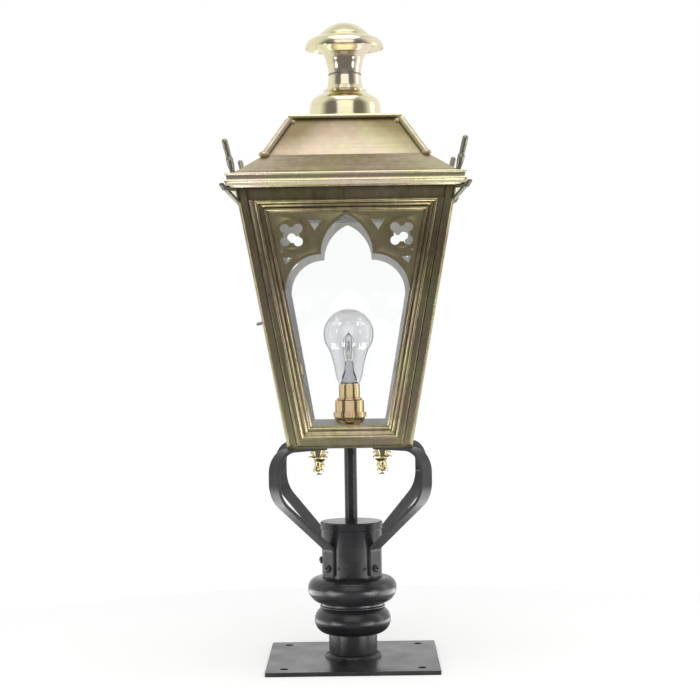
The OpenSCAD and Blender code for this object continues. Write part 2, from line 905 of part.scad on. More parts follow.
module fret_plate() {
    difference() {
        polygon(wall_outline(opening_inset, foil_v, opening_v1));
        arch_opening(0);
        translate([-arch_r, foil_v - arch_r]) square([2 * arch_r, arch_r]);
    }
}

// The fret fills the head of the opening, flush with the lip of the moulding
module fret(side) {
    face = -6;
    color(BRASS)
        on_wall(side)
            difference() {
                union() {
                    translate([0, 0, face - fret_t])
                        linear_extrude(fret_t) fret_plate();
                    translate([0, 0, face - fret_t / 2])
                        linear_extrude(fret_t / 2 + rib_h)
                            intersection() {
                                fret_plate();
                                union() {
                                    arch_opening(rib_w);
                                    for (hand = [-1, 1])
                                        translate([hand * roundel_x, roundel_v])
                                            difference() {
                                                circle(roundel_r);
                                                circle(roundel_r - rib_w * 0.7);
                                            }
                                }
                            }
                }
                translate([0, 0, face - fret_t - cut])
                    linear_extrude(fret_t + rib_h + 2 * cut) fret_holes();
            }
}

module front_fret() { fret(FRONT); }
module right_fret() { fret(RIGHT); }
module rear_fret() { fret(REAR); }
module door_fret() { fret(LEFT); }

// The panes lie against the backs of the frames
module pane(side) {
    color("#dfe8ea", 0.3)
        on_wall(side)
            translate([0, 0, -frame_depth - glass_t])
                linear_extrude(glass_t)
                    polygon(ring_line(glass_lap));
}

module front_glass() { pane(FRONT); }
module right_glass() { pane(RIGHT); }
module rear_glass() { pane(REAR); }
module door_glass() { pane(LEFT); }

// A folded clip beside each long edge of a pane: a foot on the frame and a tongue over the glass
module wall_clips(side) {
    clip_l = 14;
    clip_t = 1;
    foot_w_clip = 5;
    tongue = 5;
    edge_gap = 0.3;
    inset = opening_inset - glass_lap - edge_gap;
    on_wall(side)
        for (hand = [-1, 1], part_up = [0.25, 0.75]) {
            v = opening_v0 + part_up * (opening_v1 - opening_v0);
            translate([hand * edge_x(v, inset), v, -frame_depth])
                rotate([0, 0, -hand * atan(flare)])
                    mirror([hand < 0 ? 1 : 0, 0, 0])
                        translate([0, -clip_l / 2, 0]) {
                            translate([0, 0, -glass_t - clip_t]) cube([foot_w_clip, clip_l, glass_t + clip_t]);
                            translate([-tongue, 0, -glass_t - clip_t]) cube([tongue + cut, clip_l, clip_t]);
                        }
        }
}

module glazing_clips() {
    color(BRASS)
        for (side = [FRONT, RIGHT, REAR]) wall_clips(side);
}
module door_clips() {
    color(BRASS) wall_clips(LEFT);
}

/* Roof */

// Half width of the flat underside of the eave
eave_foot_half = eave_half - 4;

// The fascia leans in between a fine bead at its head and a stouter one over the foot
module eave_moulding() {
    head_bead_r = 1.4;
    foot_bead_r = 1.9;
    inner = wall_half(eave_z) - 2 * post_t / cos(lean);
    head_half = eave_half - 0.4 - head_bead_r;
    foot_half = eave_half - 1.2;
    bead_z = eave_z + 0.42 * eave_h;
    color(BRASS)
        square_ring(eave_half + cut) {
            polygon([
                [inner, eave_z], [eave_foot_half, eave_z], [foot_half, eave_z + foot_bead_r],
                [foot_half, bead_z - foot_bead_r], [eave_half - 3.2, bead_z],
                [eave_half - 3.2, bead_z + foot_bead_r], [head_half, skirt_z - 2 * head_bead_r],
                [head_half, skirt_z], [inner, skirt_z]
            ]);
            translate([eave_half - foot_bead_r, bead_z]) circle(foot_bead_r);
            translate([head_half, skirt_z - head_bead_r]) circle(head_bead_r);
        }
}

module roof_skirt() {
    seat = 4;
    color(BRASS)
        square_ring(eave_half)
            polygon([
                [skirt_foot_half, skirt_z], [skirt_foot_half, skirt_z + roof_t],
                [skirt_head_half, hood_z], [skirt_head_half - 2 * seat, hood_z],
                [skirt_head_half - 2 * seat, hood_z - roof_t], [skirt_head_half - 0.6, hood_z - roof_t],
                [skirt_foot_half - seat, skirt_z + roof_t * 0.7], [skirt_foot_half - seat, skirt_z]
            ]);
}

module roof_hood() {
    flange = 6;
    color(BRASS)
        square_ring(eave_half)
            polygon([
                [hood_foot_half, hood_z], [hood_head_half, crown_z],
                [hood_head_half - flange, crown_z], [hood_head_half - flange, crown_z - roof_t],
                [hood_head_half - 1.2 * roof_t, crown_z - roof_t],
                [hood_foot_half - 1.2 * roof_t, hood_z]
            ]);
}

// Round beads that cover the four hips of the hood, cut level at the skirt and under the crown
module hip_beads() {
    run = hood_foot_half - hood_head_half;
    tilt = atan(sqrt(2) * run / hood_rise);
    extra = 2 * hip_r;
    seat = hip_r * 0.4;
    start = hood_foot_half + run * extra / hood_rise + seat;
    color(BRASS)
        difference() {
            intersection() {
                for (turn = [0 : 3])
                    rotate([0, 0, 90 * turn])
                        translate([start, start, hood_z - extra])
                            rotate([0, 0, 45])
                                rotate([0, -tilt, 0])
                                    cylinder(r = hip_r, h = (hood_rise + 2 * extra) / cos(tilt));
                translate([-eave_half, -eave_half, hood_z])
                    cube([2 * eave_half, 2 * eave_half, hood_rise]);
            }
            square_ring(eave_half)
                polygon([
                    [0, hood_z - cut], [hood_foot_half, hood_z - cut], [hood_foot_half, hood_z],
                    [hood_head_half, crown_z], [hood_head_half, crown_z + cut], [0, crown_z + cut]
                ]);
        }
}

module roof_crown() {
    edge_r = crown_h / 2;
    color(BRASS)
        difference() {
            square_ring(crown_half + cut) {
                translate([0, crown_z]) square([crown_half - edge_r, crown_h]);
                translate([crown_half - edge_r, crown_z + edge_r]) circle(edge_r);
            }
            translate([0, 0, crown_z - cut])
                cylinder(d = tie_rod_d + 2 * hole_play, h = crown_h + 2 * cut);
        }
}

/* Finial */

// A spun base: a flange, a square-shouldered dome, a fine bead and a hollow neck
module finial_base() {
    wall = 2.5;
    flange_h = 3;
    flange = finial_flange_r;
    neck = finial_neck_r;
    h = finial_base_h;
    bead_r = 1.3;
    color(POLISHED)
        translate([0, 0, finial_z])
            difference() {
                rotate_extrude()
                    union() {
                        square([flange - flange_h / 2, flange_h]);
                        translate([flange - flange_h / 2, flange_h / 2]) circle(flange_h / 2);
                        polygon(concat(
                            [[0, 0.04 * h]],
                            smooth([
                                [flange - 2.2, 0.04 * h], [flange - 2.4, 0.2 * h], [flange - 3.1, 0.336 * h],
                                [flange - 6.3, 0.448 * h], [flange - 11.1, 0.515 * h],
                                [neck + 10.1, 0.56 * h], [neck + 7.1, 0.604 * h]
                            ], 4),
                            smooth([
                                [neck + 3.5, 0.672 * h], [neck + 1.7, 0.739 * h], [neck + 1.1, 0.784 * h],
                                [neck + 0.5, 0.896 * h], [neck, h]
                            ], 3),
                            [[0, h]]
                        ));
                        translate([neck + 5.4, 0.636 * h]) circle(bead_r);
                    }
                translate([0, 0, -cut]) cylinder(r = neck + 4, h = 0.5 * h + cut);
                translate([0, 0, -cut]) cylinder(r = neck - 3, h = h - wall + cut);
                cylinder(d = tie_rod_d + 2 * hole_play, h = h + cut);
            }
}

// A turned vase: the neck goes on up and opens like a trumpet under the brim
module finial_vase() {
    neck = finial_neck_r;
    h = finial_vase_h;
    groove_z = 0.5;
    color(POLISHED)
        translate([0, 0, vase_z])
            difference() {
                rotate_extrude()
                    difference() {
                        polygon(concat(
                            [[0, 0]],
                            smooth([
                                [neck, 0], [neck + 0.7, 0.15 * h], [neck + 2.3, 0.29 * h],
                                [neck + 3.5, 0.431 * h], [neck + 6.8, 0.571 * h],
                                [neck + 8.3, 0.628 * h], [finial_vase_r - 3.2, 0.77 * h],
                                [finial_vase_r, 0.9 * h]
                            ], 4),
                            [[finial_vase_r - 3, h], [0, h]]
                        ));
                        translate([neck + 0.6, groove_z]) circle(0.9);
                    }
                translate([0, 0, -cut])
                    cylinder(d = tie_rod_d + 2 * hole_play, h = h + 2 * cut);
            }
}

// A spun cap: a flat-topped crown over a wide turned-down brim that is hollow below
module finial_brim() {
    t = 2;
    socket_h = 6;
    seat_r = finial_vase_r - 2;
    rim_top = -2.7;
    rim_foot = rim_top - rim_h;
    color(POLISHED)
        translate([0, 0, brim_z])
            difference() {
                rotate_extrude()
                    polygon(concat(
                        [[0, 0], [seat_r, 0]],
                        smooth([
                            [seat_r, 0], [brim_r - t - 5, 1.1], [brim_r - t - 2, -0.6],
                            [brim_r - t - 0.4, -2.8], [brim_r - t, rim_top - 2]
                        ], 3),
                        [[brim_r - t, rim_foot], [brim_r, rim_foot]],
                        smooth([
                            [brim_r, rim_top], [brim_r - 1.7, 1.2], [brim_r - 6.3, 3.4],
                            [brim_r - 11, 0.27 * cap_h], [brim_r - 17, 0.4 * cap_h],
                            [brim_r - 21.3, 0.62 * cap_h], [brim_r - 27.3, 0.93 * cap_h],
                            [brim_r - 35, 0.99 * cap_h], [0, cap_h]
                        ], 3)
                    ));
                translate([0, 0, -cut])
                    cylinder(d = tie_rod_d + 2 * hole_play, h = socket_h + cut);
            }
}

// The tie rod runs from a nut under the crown up into the cap
module finial_rod() {
    nut_h = 6;
    tail = 4;
    top = brim_z + 5;
    color(BRASS) {
        translate([0, 0, crown_z - nut_h - tail])
            cylinder(d = tie_rod_d, h = top - crown_z + nut_h + tail);
        translate([0, 0, crown_z - nut_h])
            cylinder(d = 15, h = nut_h, $fn = 6);
    }
}

/* Corner fittings */

// Puts the children at each corner, with X running outwards along the diagonal
module at_corners() {
    for (turn = [0 : 3])
        rotate([0, 0, 45 + 90 * turn])
            children();
}

// Distances from the axis along the diagonal
strap_root = sqrt(2) * (wall_half(eave_z - 15) - post_r / cos(lean)) + post_r;
strap_tip = sqrt(2) * (eave_half + 2.4);
strap_fold_z = eave_z + 3;
strap_root_z = eave_z - 15;
spire_foot = sqrt(2) * (skirt_foot_half + 2.3);
spire_foot_z = skirt_z;

// A strip folded like an elbow: it leaves the post, turns back under the corner of the eave
module corner_straps() {
    // The folds are a little thicker than the strip
    fold_r = strap_t / 2 + 0.06;
    root = [strap_root + fold_r + hole_play, strap_root_z];
    tip = [strap_tip, strap_fold_z];
    pad_end = [sqrt(2) * eave_foot_half - 12, eave_z - strap_t / 2];
    knee = [strap_tip - 4, eave_z - strap_t / 2];
    color(BRASS)
        at_corners()
            rotate([90, 0, 0])
                linear_extrude(strap_w, center = true)
                    union() {
                        straight_band(root, tip, strap_t);
                        straight_band(pad_end, knee, strap_t);
                        straight_band(knee, tip, strap_t);
                        for (fold = [tip, knee, root])
                            translate(fold) circle(fold_r);
                    }
}

// A turned spindle: a slim foot, a swelling with a collar, and a long rounded tip
module corner_spires() {
    color(BRASS)
        at_corners()
            translate([spire_foot, 0, spire_foot_z])
                intersection() {
                    rotate([0, spire_lean, 0])
                        rotate_extrude()
                            union() {
                                translate([0, -4])
                                    polygon([
                                        [0, 0], [spire_r * 0.7, 0], [spire_r * 0.7, 6],
                                        [spire_r, 0.36 * spire_h], [spire_r, 0.52 * spire_h],
                                        [spire_r * 0.8, 0.58 * spire_h], [spire_r * 0.86, 0.85 * spire_h],
                                        [spire_r * 0.86, spire_h + 4 - spire_r * 0.86], [0, spire_h + 4 - spire_r * 0.86]
                                    ]);
                                intersection() {
                                    translate([0, spire_h - spire_r * 0.86]) circle(spire_r * 0.86);
                                    translate([0, spire_h - spire_r]) square(spire_r);
                                }
                                translate([spire_r * 0.9, 0.5 * spire_h - 4]) circle(0.8);
                            }
                    translate([-eave_half, -eave_half, 0]) cube(2 * eave_half);
                }
}

/* Lamp */

nipple_d = 6;
holder_z = sill_z + 10;
holder_top_z = sill_z + holder_h;
bulb_neck_r = 12;

// A thin threaded tube that screws into the stem and carries the holder
module lamp_nipple() {
    color(POLISHED)
        translate([0, 0, sill_z - tray_t])
            difference() {
                cylinder(d = nipple_d, h = holder_z + 6 - sill_z + tray_t);
                translate([0, 0, -cut]) cylinder(d = nipple_d - 2, h = holder_h);
            }
}

// Heights of the neck of the cup and of the whole cup, and of the ring on top of it
cup_neck_h = 11;
cup_h = 21;
holder_ring_h = 6;

module holder_cup() {
    neck_r = 6;
    color(POLISHED)
        translate([0, 0, holder_z])
            difference() {
                rotate_extrude()
                    union() {
                        square([neck_r, cup_neck_h]);
                        polygon(concat(
                            [[0, cup_neck_h - cut], [neck_r, cup_neck_h - cut]],
                            [for (i = [0 : 8]) let (angle = 90 * i / 8)
                                [neck_r + (holder_d / 2 + 1 - neck_r) * sin(angle),
                                    cup_neck_h + (cup_h - cup_neck_h) * (1 - cos(angle))]],
                            [[0, cup_h]]
                        ));
                    }
                translate([0, 0, -cut]) cylinder(d = nipple_d + hole_play, h = 7);
                translate([0, 0, cup_h - 5]) cylinder(d = holder_d - 6, h = cup_h);
            }
}

// The knurled ring that clamps the two shells of the holder
module holder_ring() {
    teeth = 40;
    color(POLISHED)
        translate([0, 0, holder_z + cup_h])
            difference() {
                cylinder(d = holder_d + 5.2, h = holder_ring_h);
                for (i = [0 : teeth - 1])
                    rotate([0, 0, i * 360 / teeth])
                        translate([holder_d / 2 + 3, 0, -cut])
                            cylinder(r = 0.8, h = holder_ring_h + 2 * cut, $fn = 4);
                translate([0, 0, -cut]) cylinder(d = holder_d - 6, h = holder_ring_h + 2 * cut);
            }
}

// The upper shell: a wide drum, a raised band and the skirt that grips the cap of the bulb
module holder_body() {
    foot = holder_z + cup_h + holder_ring_h;
    drum_h = 14;
    bore_d = 23;
    slot_w = 2.6;
    color(POLISHED)
        difference() {
            rotate_extrude()
                difference() {
                    union() {
                        translate([0, foot]) square([holder_d / 2, drum_h]);
                        translate([0, foot + drum_h]) square([holder_d / 2 - 3.6, 3]);
                        translate([holder_d / 2 - 3.6, foot + drum_h + 1.5]) circle(1.5);
                        translate([0, foot]) square([bore_d / 2 + 1.1, holder_top_z - foot]);
                    }
                    translate([-cut, foot - cut]) square([bore_d / 2 + cut, holder_top_z - foot + 2 * cut]);
                }
            for (turn = [0, 180])
                rotate([0, 0, turn])
                    translate([0, -slot_w / 2, holder_top_z - 9])
                        cube([holder_d, slot_w, 9 + cut]);
        }
}

// Outline of the bulb from its neck to its crown, inset by a wall
function bulb_line(wall) =
    let (
        r = bulb_d / 2,
        middle = holder_top_z + bulb_reach - r,
        neck = bulb_neck_r,
        foot = holder_top_z + 1,
        join = -38,
        join_r = r * cos(join),
        join_z = middle + r * sin(join)
    )
    concat(
        [for (q = smooth([
            [0, 0], [0.1, 0.2], [0.245, 0.35], [0.39, 0.43], [0.54, 0.53], [0.69, 0.66], [0.84, 0.81], [1, 1]
        ], 3)) [neck - wall + (join_r - neck) * q[1], foot + (join_z - foot) * q[0]]],
        [for (angle = [-30 : 10 : 80]) [(r - wall) * cos(angle), middle + (r - wall) * sin(angle)]],
        [[0, middle + r - wall]]
    );

module bulb_glass() {
    wall = 0.8;
    color("#eef4f6", 0.35)
        rotate_extrude()
            difference() {
                polygon(concat([[0, holder_top_z + 1]], bulb_line(0)));
                polygon(concat(
                    [[0, holder_top_z], [bulb_neck_r - wall, holder_top_z]], bulb_line(wall)
                ));
            }
}

cap_d = 22;

module bulb_cap() {
    cap_h = 25;
    pin = 2;
    color("silver")
        translate([0, 0, holder_top_z + 1 - cap_h]) {
            cylinder(d = cap_d, h = cap_h);
            translate([0, 0, -1.5]) cylinder(d = 14, h = 1.5);
            for (x = [-4, 4])
                translate([x, 0, -3]) cylinder(d = pin, h = 2);
        }
}

// The glass foot inside the bulb, with the two wires and the coil that they carry
module bulb_stem() {
    foot = holder_top_z + 1;
    // Height of the coil, which the wires reach a little past
    coil_h = 0.54 * bulb_reach;
    stem_h = 0.75 * coil_h;
    wire_foot_h = 0.62 * coil_h;
    splay = 28;
    wire_l = (coil_h - wire_foot_h) / cos(splay) + 1;
    color("#dddddd") {
        translate([0, 0, foot])
            rotate_extrude()
                polygon([
                    [0, 0], [9, 0], [5.5, stem_h / 3], [4, 0.67 * stem_h], [3, 0.95 * stem_h], [0, stem_h]
                ]);
        for (x = [-1, 1])
            translate([x * 2, 0, foot + wire_foot_h])
                rotate([0, x * splay, 0])
                    cylinder(d = 1, h = wire_l);
        translate([0, 0, foot + coil_h])
            rotate([0, 90, 0])
                cylinder(d = 1.4, h = 4 + 2 * wire_l * sin(splay), center = true);
    }
}

/* Door hinges */

// The hinge axis runs along the gap between the post and the door, just proud of the wall
hinge_inset = post_leg + 0.2;
hinge_lift = 2.6;
hinge_ends = 0.3;
knuckle_mid = hinge_len * 0.4;

// Puts the children at a hinge: X towards the door, Y up the axis, Z out of the wall
module at_hinges() {
    on_wall(LEFT)
        for (part_up = [0.2, 0.8]) {
            v = part_up * frame_top_v;
            translate([-edge_x(v, hinge_inset), v, hinge_lift])
                rotate([0, 0, atan(flare)])
                    children();
        }
}

module knuckle(y0, y1, bore_d) {
    translate([0, y0, 0])
        rotate([-90, 0, 0])
            difference() {
                cylinder(d = knuckle_d, h = y1 - y0);
                translate([0, 0, -cut]) cylinder(d = bore_d, h = y1 - y0 + 2 * cut);
            }
}

// A leaf screwed to the post, with a knuckle at each end
module post_hinge_leaves() {
    leaf_t = 1.2;
    leaf_w = 7.2;
    clear_x = knuckle_d / 2 + hinge_ends;
    color(BRASS)
        at_hinges()
            difference() {
                union() {
                    translate([-leaf_w, -hinge_len / 2, -hinge_lift])
                        cube([leaf_w - clear_x, hinge_len, leaf_t]);
                    for (hand = [-1, 1]) {
                        y0 = hand < 0 ? -hinge_len / 2 : knuckle_mid / 2 + hinge_ends;
                        y1 = hand < 0 ? -knuckle_mid / 2 - hinge_ends : hinge_len / 2;
                        translate([-clear_x - cut, y0, -hinge_lift])
                            cube([clear_x + cut, y1 - y0, leaf_t]);
                        translate([0, y0, 0])
                            rotate([-90, 0, 0]) cylinder(d = knuckle_d, h = y1 - y0);
                    }
                }
                translate([0, -hinge_len, 0])
                    rotate([-90, 0, 0])
                        cylinder(d = hinge_pin_d + pin_play, h = 2 * hinge_len);
            }
}

module hinge_pins() {
    color(POLISHED)
        at_hinges()
            translate([0, -hinge_len / 2 - 0.8, 0])
                rotate([-90, 0, 0])
                    cylinder(d = hinge_pin_d, h = hinge_len + 1.6);
}

// A leaf on the stile of the door, stepped over its edge bead to the middle knuckle
module door_hinge_leaves() {
    flat_y = -2 - hinge_lift;
    leaf_x = 2.5;
    leaf_t = 1.8;
    leaf_w = 4;
    web_x = door_gap + 0.1;
    web_y = flat_y + leaf_t - 0.6;
    color(BRASS)
        at_hinges()
            difference() {
                union() {
                    translate([leaf_x, -knuckle_mid / 2, flat_y])
                        cube([leaf_w, knuckle_mid, leaf_t]);
                    translate([web_x, -knuckle_mid / 2, web_y])
                        cube([leaf_x + 1 - web_x, knuckle_mid, leaf_t]);
                    translate([web_x, -knuckle_mid / 2, web_y])
                        cube([knuckle_d / 2 - web_x, knuckle_mid, -web_y]);
                    translate([0, -knuckle_mid / 2, 0])
                        rotate([-90, 0, 0]) cylinder(d = knuckle_d, h = knuckle_mid);
                }
                translate([0, -hinge_len, 0])
                    rotate([-90, 0, 0])
                        cylinder(d = hinge_pin_d + 2 * pin_play, h = 2 * hinge_len);
            }
}

/* Latch */

latch_inset = 15.8;
latch_spindle_d = 3;
latch_v = (body_h * 0.49 - tray_t) / cos(lean);

// Puts the children at the latch spindle on the front stile of the door, Z out of the wall
module latch_place() {
    translate([edge_x(latch_v, latch_inset), latch_v, 0])
        rotate([0, 0, -atan(flare)])
            children();
}

// A thumb turn: a boss on the face of the stile and a thin blade that stands out of it
module latch_knob() {
    boss_r = 1.95;
    boss_h = 2.6;
    blade_w = 12;
    blade_t = 1.8;
    face = -2 + 0.2;
    tail = frame_depth + 2;
    color(BRASS)
        on_wall(LEFT)
            latch_place() {
                translate([0, 0, face]) cylinder(r = boss_r, h = boss_h);
                translate([-blade_w / 2, -blade_t / 2, face + boss_h - 0.2])
                    cube([blade_w, blade_t, knob_reach - boss_h]);
                translate([0, 0, -tail]) cylinder(d = latch_spindle_d, h = tail + face + 0.2);
            }
}

// The tongue behind the door; turned a quarter it reaches behind the edge of the corner post
module latch_tongue() {
    tongue_l = 10.2;
    tongue_w = 6;
    tongue_t = 1.2;
    back = 0.3;
    color(BRASS)
        on_wall(LEFT)
            latch_place()
                translate([0, 0, -frame_depth - back - tongue_t])
                    difference() {
                        union() {
                            cylinder(d = tongue_w, h = tongue_t);
                            translate([-tongue_w / 2, -tongue_l, 0])
                                cube([tongue_w, tongue_l, tongue_t]);
                        }
                        translate([0, 0, -cut]) cylinder(d = latch_spindle_d, h = tongue_t + 2 * cut);
                    }
}

base_plate();
pedestal_neck();
lower_ring();
upper_ring();
bracket_collar();
collar_set_screws();
arm_front_left();
arm_front_right();
arm_rear_left();
arm_rear_right();
arm_screws();
clamp_screw();
stem_tube();
stem_locknuts();
base_tray();
base_studs();
base_stud_nuts();
base_finials();
post_front_left();
post_front_right();
post_rear_left();
post_rear_right();
top_rails();
front_frame();
right_frame();
rear_frame();
front_fret();
right_fret();
rear_fret();
front_glass();
right_glass();
rear_glass();
glazing_clips();
eave_moulding();
roof_skirt();
roof_hood();
hip_beads();
roof_crown();
finial_base();
finial_vase();
finial_brim();
finial_rod();
corner_straps();
corner_spires();
lamp_nipple();
holder_cup();
holder_ring();
holder_body();
bulb_glass();
bulb_cap();
bulb_stem();
post_hinge_leaves();
hinge_pins();
door_frame();
door_fret();
door_glass();
door_clips();
door_hinge_leaves();
latch_knob();
latch_tongue();
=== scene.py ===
import math

import bmesh
import bpy
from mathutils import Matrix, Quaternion, Vector


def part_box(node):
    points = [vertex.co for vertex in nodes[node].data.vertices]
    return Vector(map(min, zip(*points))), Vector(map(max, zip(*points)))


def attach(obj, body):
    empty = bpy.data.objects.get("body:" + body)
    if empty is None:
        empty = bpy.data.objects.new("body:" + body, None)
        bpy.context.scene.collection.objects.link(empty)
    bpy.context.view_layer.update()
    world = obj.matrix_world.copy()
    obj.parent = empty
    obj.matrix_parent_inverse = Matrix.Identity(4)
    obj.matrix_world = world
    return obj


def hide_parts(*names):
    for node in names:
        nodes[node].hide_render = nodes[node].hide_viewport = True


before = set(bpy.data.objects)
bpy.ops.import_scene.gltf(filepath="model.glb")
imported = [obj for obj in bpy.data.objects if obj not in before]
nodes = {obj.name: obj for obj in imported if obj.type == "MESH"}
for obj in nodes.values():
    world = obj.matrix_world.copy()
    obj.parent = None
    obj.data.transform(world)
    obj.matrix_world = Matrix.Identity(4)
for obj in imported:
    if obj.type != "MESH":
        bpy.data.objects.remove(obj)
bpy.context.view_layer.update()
scene = bpy.context.scene
scene.view_settings.view_transform = "Standard"

# --- Studio ---
# A round pale floor, which keeps the shadow of the base plate, in a white surround. Five lamps light
# the lantern, and four lit papers lie on the floor beside it. In reflections the studio is dim on
# its open side, towards the camera, and a little under its ceiling.


def new_material(name):
    """An empty node material, and its output node."""
    material = bpy.data.materials.new(name)
    material.use_nodes = True
    material.node_tree.nodes.clear()
    return material, material.node_tree.nodes.new("ShaderNodeOutputMaterial")


def add(tree, kind, **values):
    """Adds a node, with values for its properties and its unlinked inputs."""
    node = tree.nodes.new(kind)
    for name, value in values.items():
        if hasattr(node, name):
            setattr(node, name, value)
        else:
            node.inputs[name.replace("_", " ")].default_value = value
    return node


def wire(tree, source, target):
    """Feeds an input socket from an output socket, or gives it a plain value."""
    if isinstance(source, bpy.types.NodeSocket):
        tree.links.new(source, target)
    else:
        target.default_value = source


def worked_out(tree, operation, *sources, clamped=False):
    """The result of a Math node on sockets or plain numbers."""
    node = add(tree, "ShaderNodeMath", operation=operation, use_clamp=clamped)
    for source, target in zip(sources, node.inputs):
        wire(tree, source, target)
    return node.outputs[0]


def faded(tree, value, start, end, low=0.0, high=1.0, manner="SMOOTHSTEP"):
    """A number that goes from low to high while the value goes from start to end."""
    node = add(tree, "ShaderNodeMapRange", interpolation_type=manner)
    for source, socket in ((value, "Value"), (start, "From Min"), (end, "From Max"),
                           (low, "To Min"), (high, "To Max")):
        wire(tree, source, node.inputs[socket])
    return node.outputs[0]


def mixed(tree, factor, first, second, data_type="RGBA", blend_type="MIX"):
    """A colour, or with FLOAT a number, between two others."""
    node = add(tree, "ShaderNodeMix", data_type=data_type, blend_type=blend_type)
    first_socket, result = {"FLOAT": (2, 0), "RGBA": (6, 2)}[data_type]
    wire(tree, factor, node.inputs["Factor"])
    wire(tree, first, node.inputs[first_socket])
    wire(tree, second, node.inputs[first_socket + 1])
    return node.outputs[result]


def in_view(tree):
    """1 for what the camera sees, also through glass, and 0 in reflections and for light."""
    rays = add(tree, "ShaderNodeLightPath")
    return worked_out(tree, "MAXIMUM", rays.outputs["Is Camera Ray"],
                      rays.outputs["Is Transmission Ray"])


floor_radius = 0.62
floor_mesh = bpy.data.meshes.new("studio_floor")
disc = bmesh.new()
bmesh.ops.create_circle(disc, cap_ends=True, segments=96, radius=floor_radius)
disc.to_mesh(floor_mesh)
disc.free()
floor = bpy.data.objects.new("studio_floor", floor_mesh)
scene.collection.objects.link(floor)

lift_to_white = 0.42
floor_material, output = new_material("studio_floor")
tree = floor_material.node_tree
floor_paper = add(tree, "ShaderNodeBsdfDiffuse", Color=(0.82, 0.82, 0.82, 1))
floor_lift = add(tree, "ShaderNodeEmission", Color=(1, 1, 1, 1))
wire(tree, worked_out(tree, "MULTIPLY", in_view(tree), lift_to_white),
     floor_lift.inputs["Strength"])
both = add(tree, "ShaderNodeAddShader")
wire(tree, floor_paper.outputs[0], both.inputs[0])
wire(tree, floor_lift.outputs[0], both.inputs[1])
wire(tree, both.outputs[0], output.inputs["Surface"])
floor_mesh.materials.append(floor_material)

world = bpy.data.worlds.new("studio")
scene.world = world
world.use_nodes = True
tree = world.node_tree
tree.nodes.clear()
direction = add(tree, "ShaderNodeSeparateXYZ")
wire(tree, add(tree, "ShaderNodeTexCoord").outputs["Generated"], direction.inputs[0])
backwards, upwards = direction.outputs["Y"], direction.outputs["Z"]
open_side_level, front_ceiling_level, rear_ceiling_level, room_light = 0.19, 0.42, 0.8, 0.5
open_side = faded(tree, backwards, -0.55, 0.05, low=open_side_level)
under_ceiling = faded(tree, upwards, 0.62, 0.9, low=1.0, high=rear_ceiling_level)
walls = worked_out(tree, "MULTIPLY", open_side, under_ceiling)
ceiling = faded(tree, upwards, 0.35, 0.8, high=front_ceiling_level)
surround = worked_out(tree, "MAXIMUM", walls, ceiling)
in_mirror = add(tree, "ShaderNodeLightPath").outputs["Is Glossy Ray"]
around = mixed(tree, in_mirror, room_light, surround, "FLOAT")
backdrop = add(tree, "ShaderNodeBackground", Color=(1, 1, 1, 1))
wire(tree, mixed(tree, in_view(tree), around, 1.0, "FLOAT"), backdrop.inputs["Strength"])
wire(tree, backdrop.outputs[0], add(tree, "ShaderNodeOutputWorld").inputs["Surface"])


def softbox(name, place, aim, width, height, watts):
    """A rectangular lamp at a place, turned towards an aim."""
    lamp = bpy.data.lights.new(name, "AREA")
    lamp.shape = "RECTANGLE"
    lamp.size, lamp.size_y, lamp.energy = width, height, watts
    holder = bpy.data.objects.new(name, lamp)
    holder.location = place
    holder.rotation_euler = (Vector(aim) - Vector(place)).to_track_quat("-Z", "Y").to_euler()
    scene.collection.objects.link(holder)


softbox("overhead_lamp", (0, -0.35, 2.2), aim=(0, -0.1, 0.6), width=1.4, height=1.2, watts=8)
softbox("front_lamp", (0, -2.2, 1.65), aim=(0, 0, 0.62), width=2.3, height=1.9, watts=15)
softbox("right_rim_lamp", (1.9, 0.3, 0.6), aim=(0, 0, 0.4), width=0.5, height=1.5, watts=3)
softbox("left_strip", (-1.85, -1.15, -0.05), aim=(0, 0, 0.1), width=0.30, height=0.6, watts=4)
softbox("right_strip", (1.85, -1.15, -0.05), aim=(0, 0, 0.1), width=0.26, height=0.6, watts=4)
# The papers lie just over the floor, face up, where the rings and the arms mirror them
paper_height = 0.002
for side, hand in ((-1, "left"), (1, "right")):
    for name, x, y, size, watts in (("_floor_paper", side * 0.27, -0.25, 0.26, 1.5),
                                    ("_side_paper", side * 0.40, 0.14, 0.44, 2.2)):
        softbox(hand + name, (x, y, paper_height), aim=(x, y, 1), width=size, height=size,
                watts=watts)

# --- Camera ---
# A long lens 2.2 m from the lantern, level with its bulb, very slightly turned and tipped, as in
# the photograph.

distance, eye_height = 2.2, 0.405
turn, roll = math.radians(0.35), math.radians(-0.85)
aim_right, aim_below_eye = 0.0014, 0.032
eye = Vector((distance * math.sin(turn), -distance * math.cos(turn), eye_height))
aim = Vector((aim_right, 0, eye_height - aim_below_eye))
lens = bpy.data.cameras.new("camera")
lens.sensor_width = 36
lens.lens = 94.29
camera = bpy.data.objects.new("camera", lens)
camera.location = eye
camera.rotation_mode = "QUATERNION"
camera.rotation_quaternion = (aim - eye).to_track_quat("-Z", "Y") @ Quaternion((0, 0, 1), roll)
scene.collection.objects.link(camera)
scene.camera = camera

# --- Pedestal ---
# A square steel plate, a tube welded to it, two turned rings and a collar that set screws lock. All
# of it is steel with a satin black paint that has a fine skin and a little dust.


def new_group(name, inputs, outputs):
    """A shader node group with named sockets: its tree, its input node and its output node."""
    group = bpy.data.node_groups.new(name, "ShaderNodeTree")
    for socket, kind, value in inputs:
        made = group.interface.new_socket(socket, in_out="INPUT", socket_type=kind)
        made.default_value = value
    for socket, kind in outputs:
        group.interface.new_socket(socket, in_out="OUTPUT", socket_type=kind)
    return group, group.nodes.new("NodeGroupInput"), group.nodes.new("NodeGroupOutput")


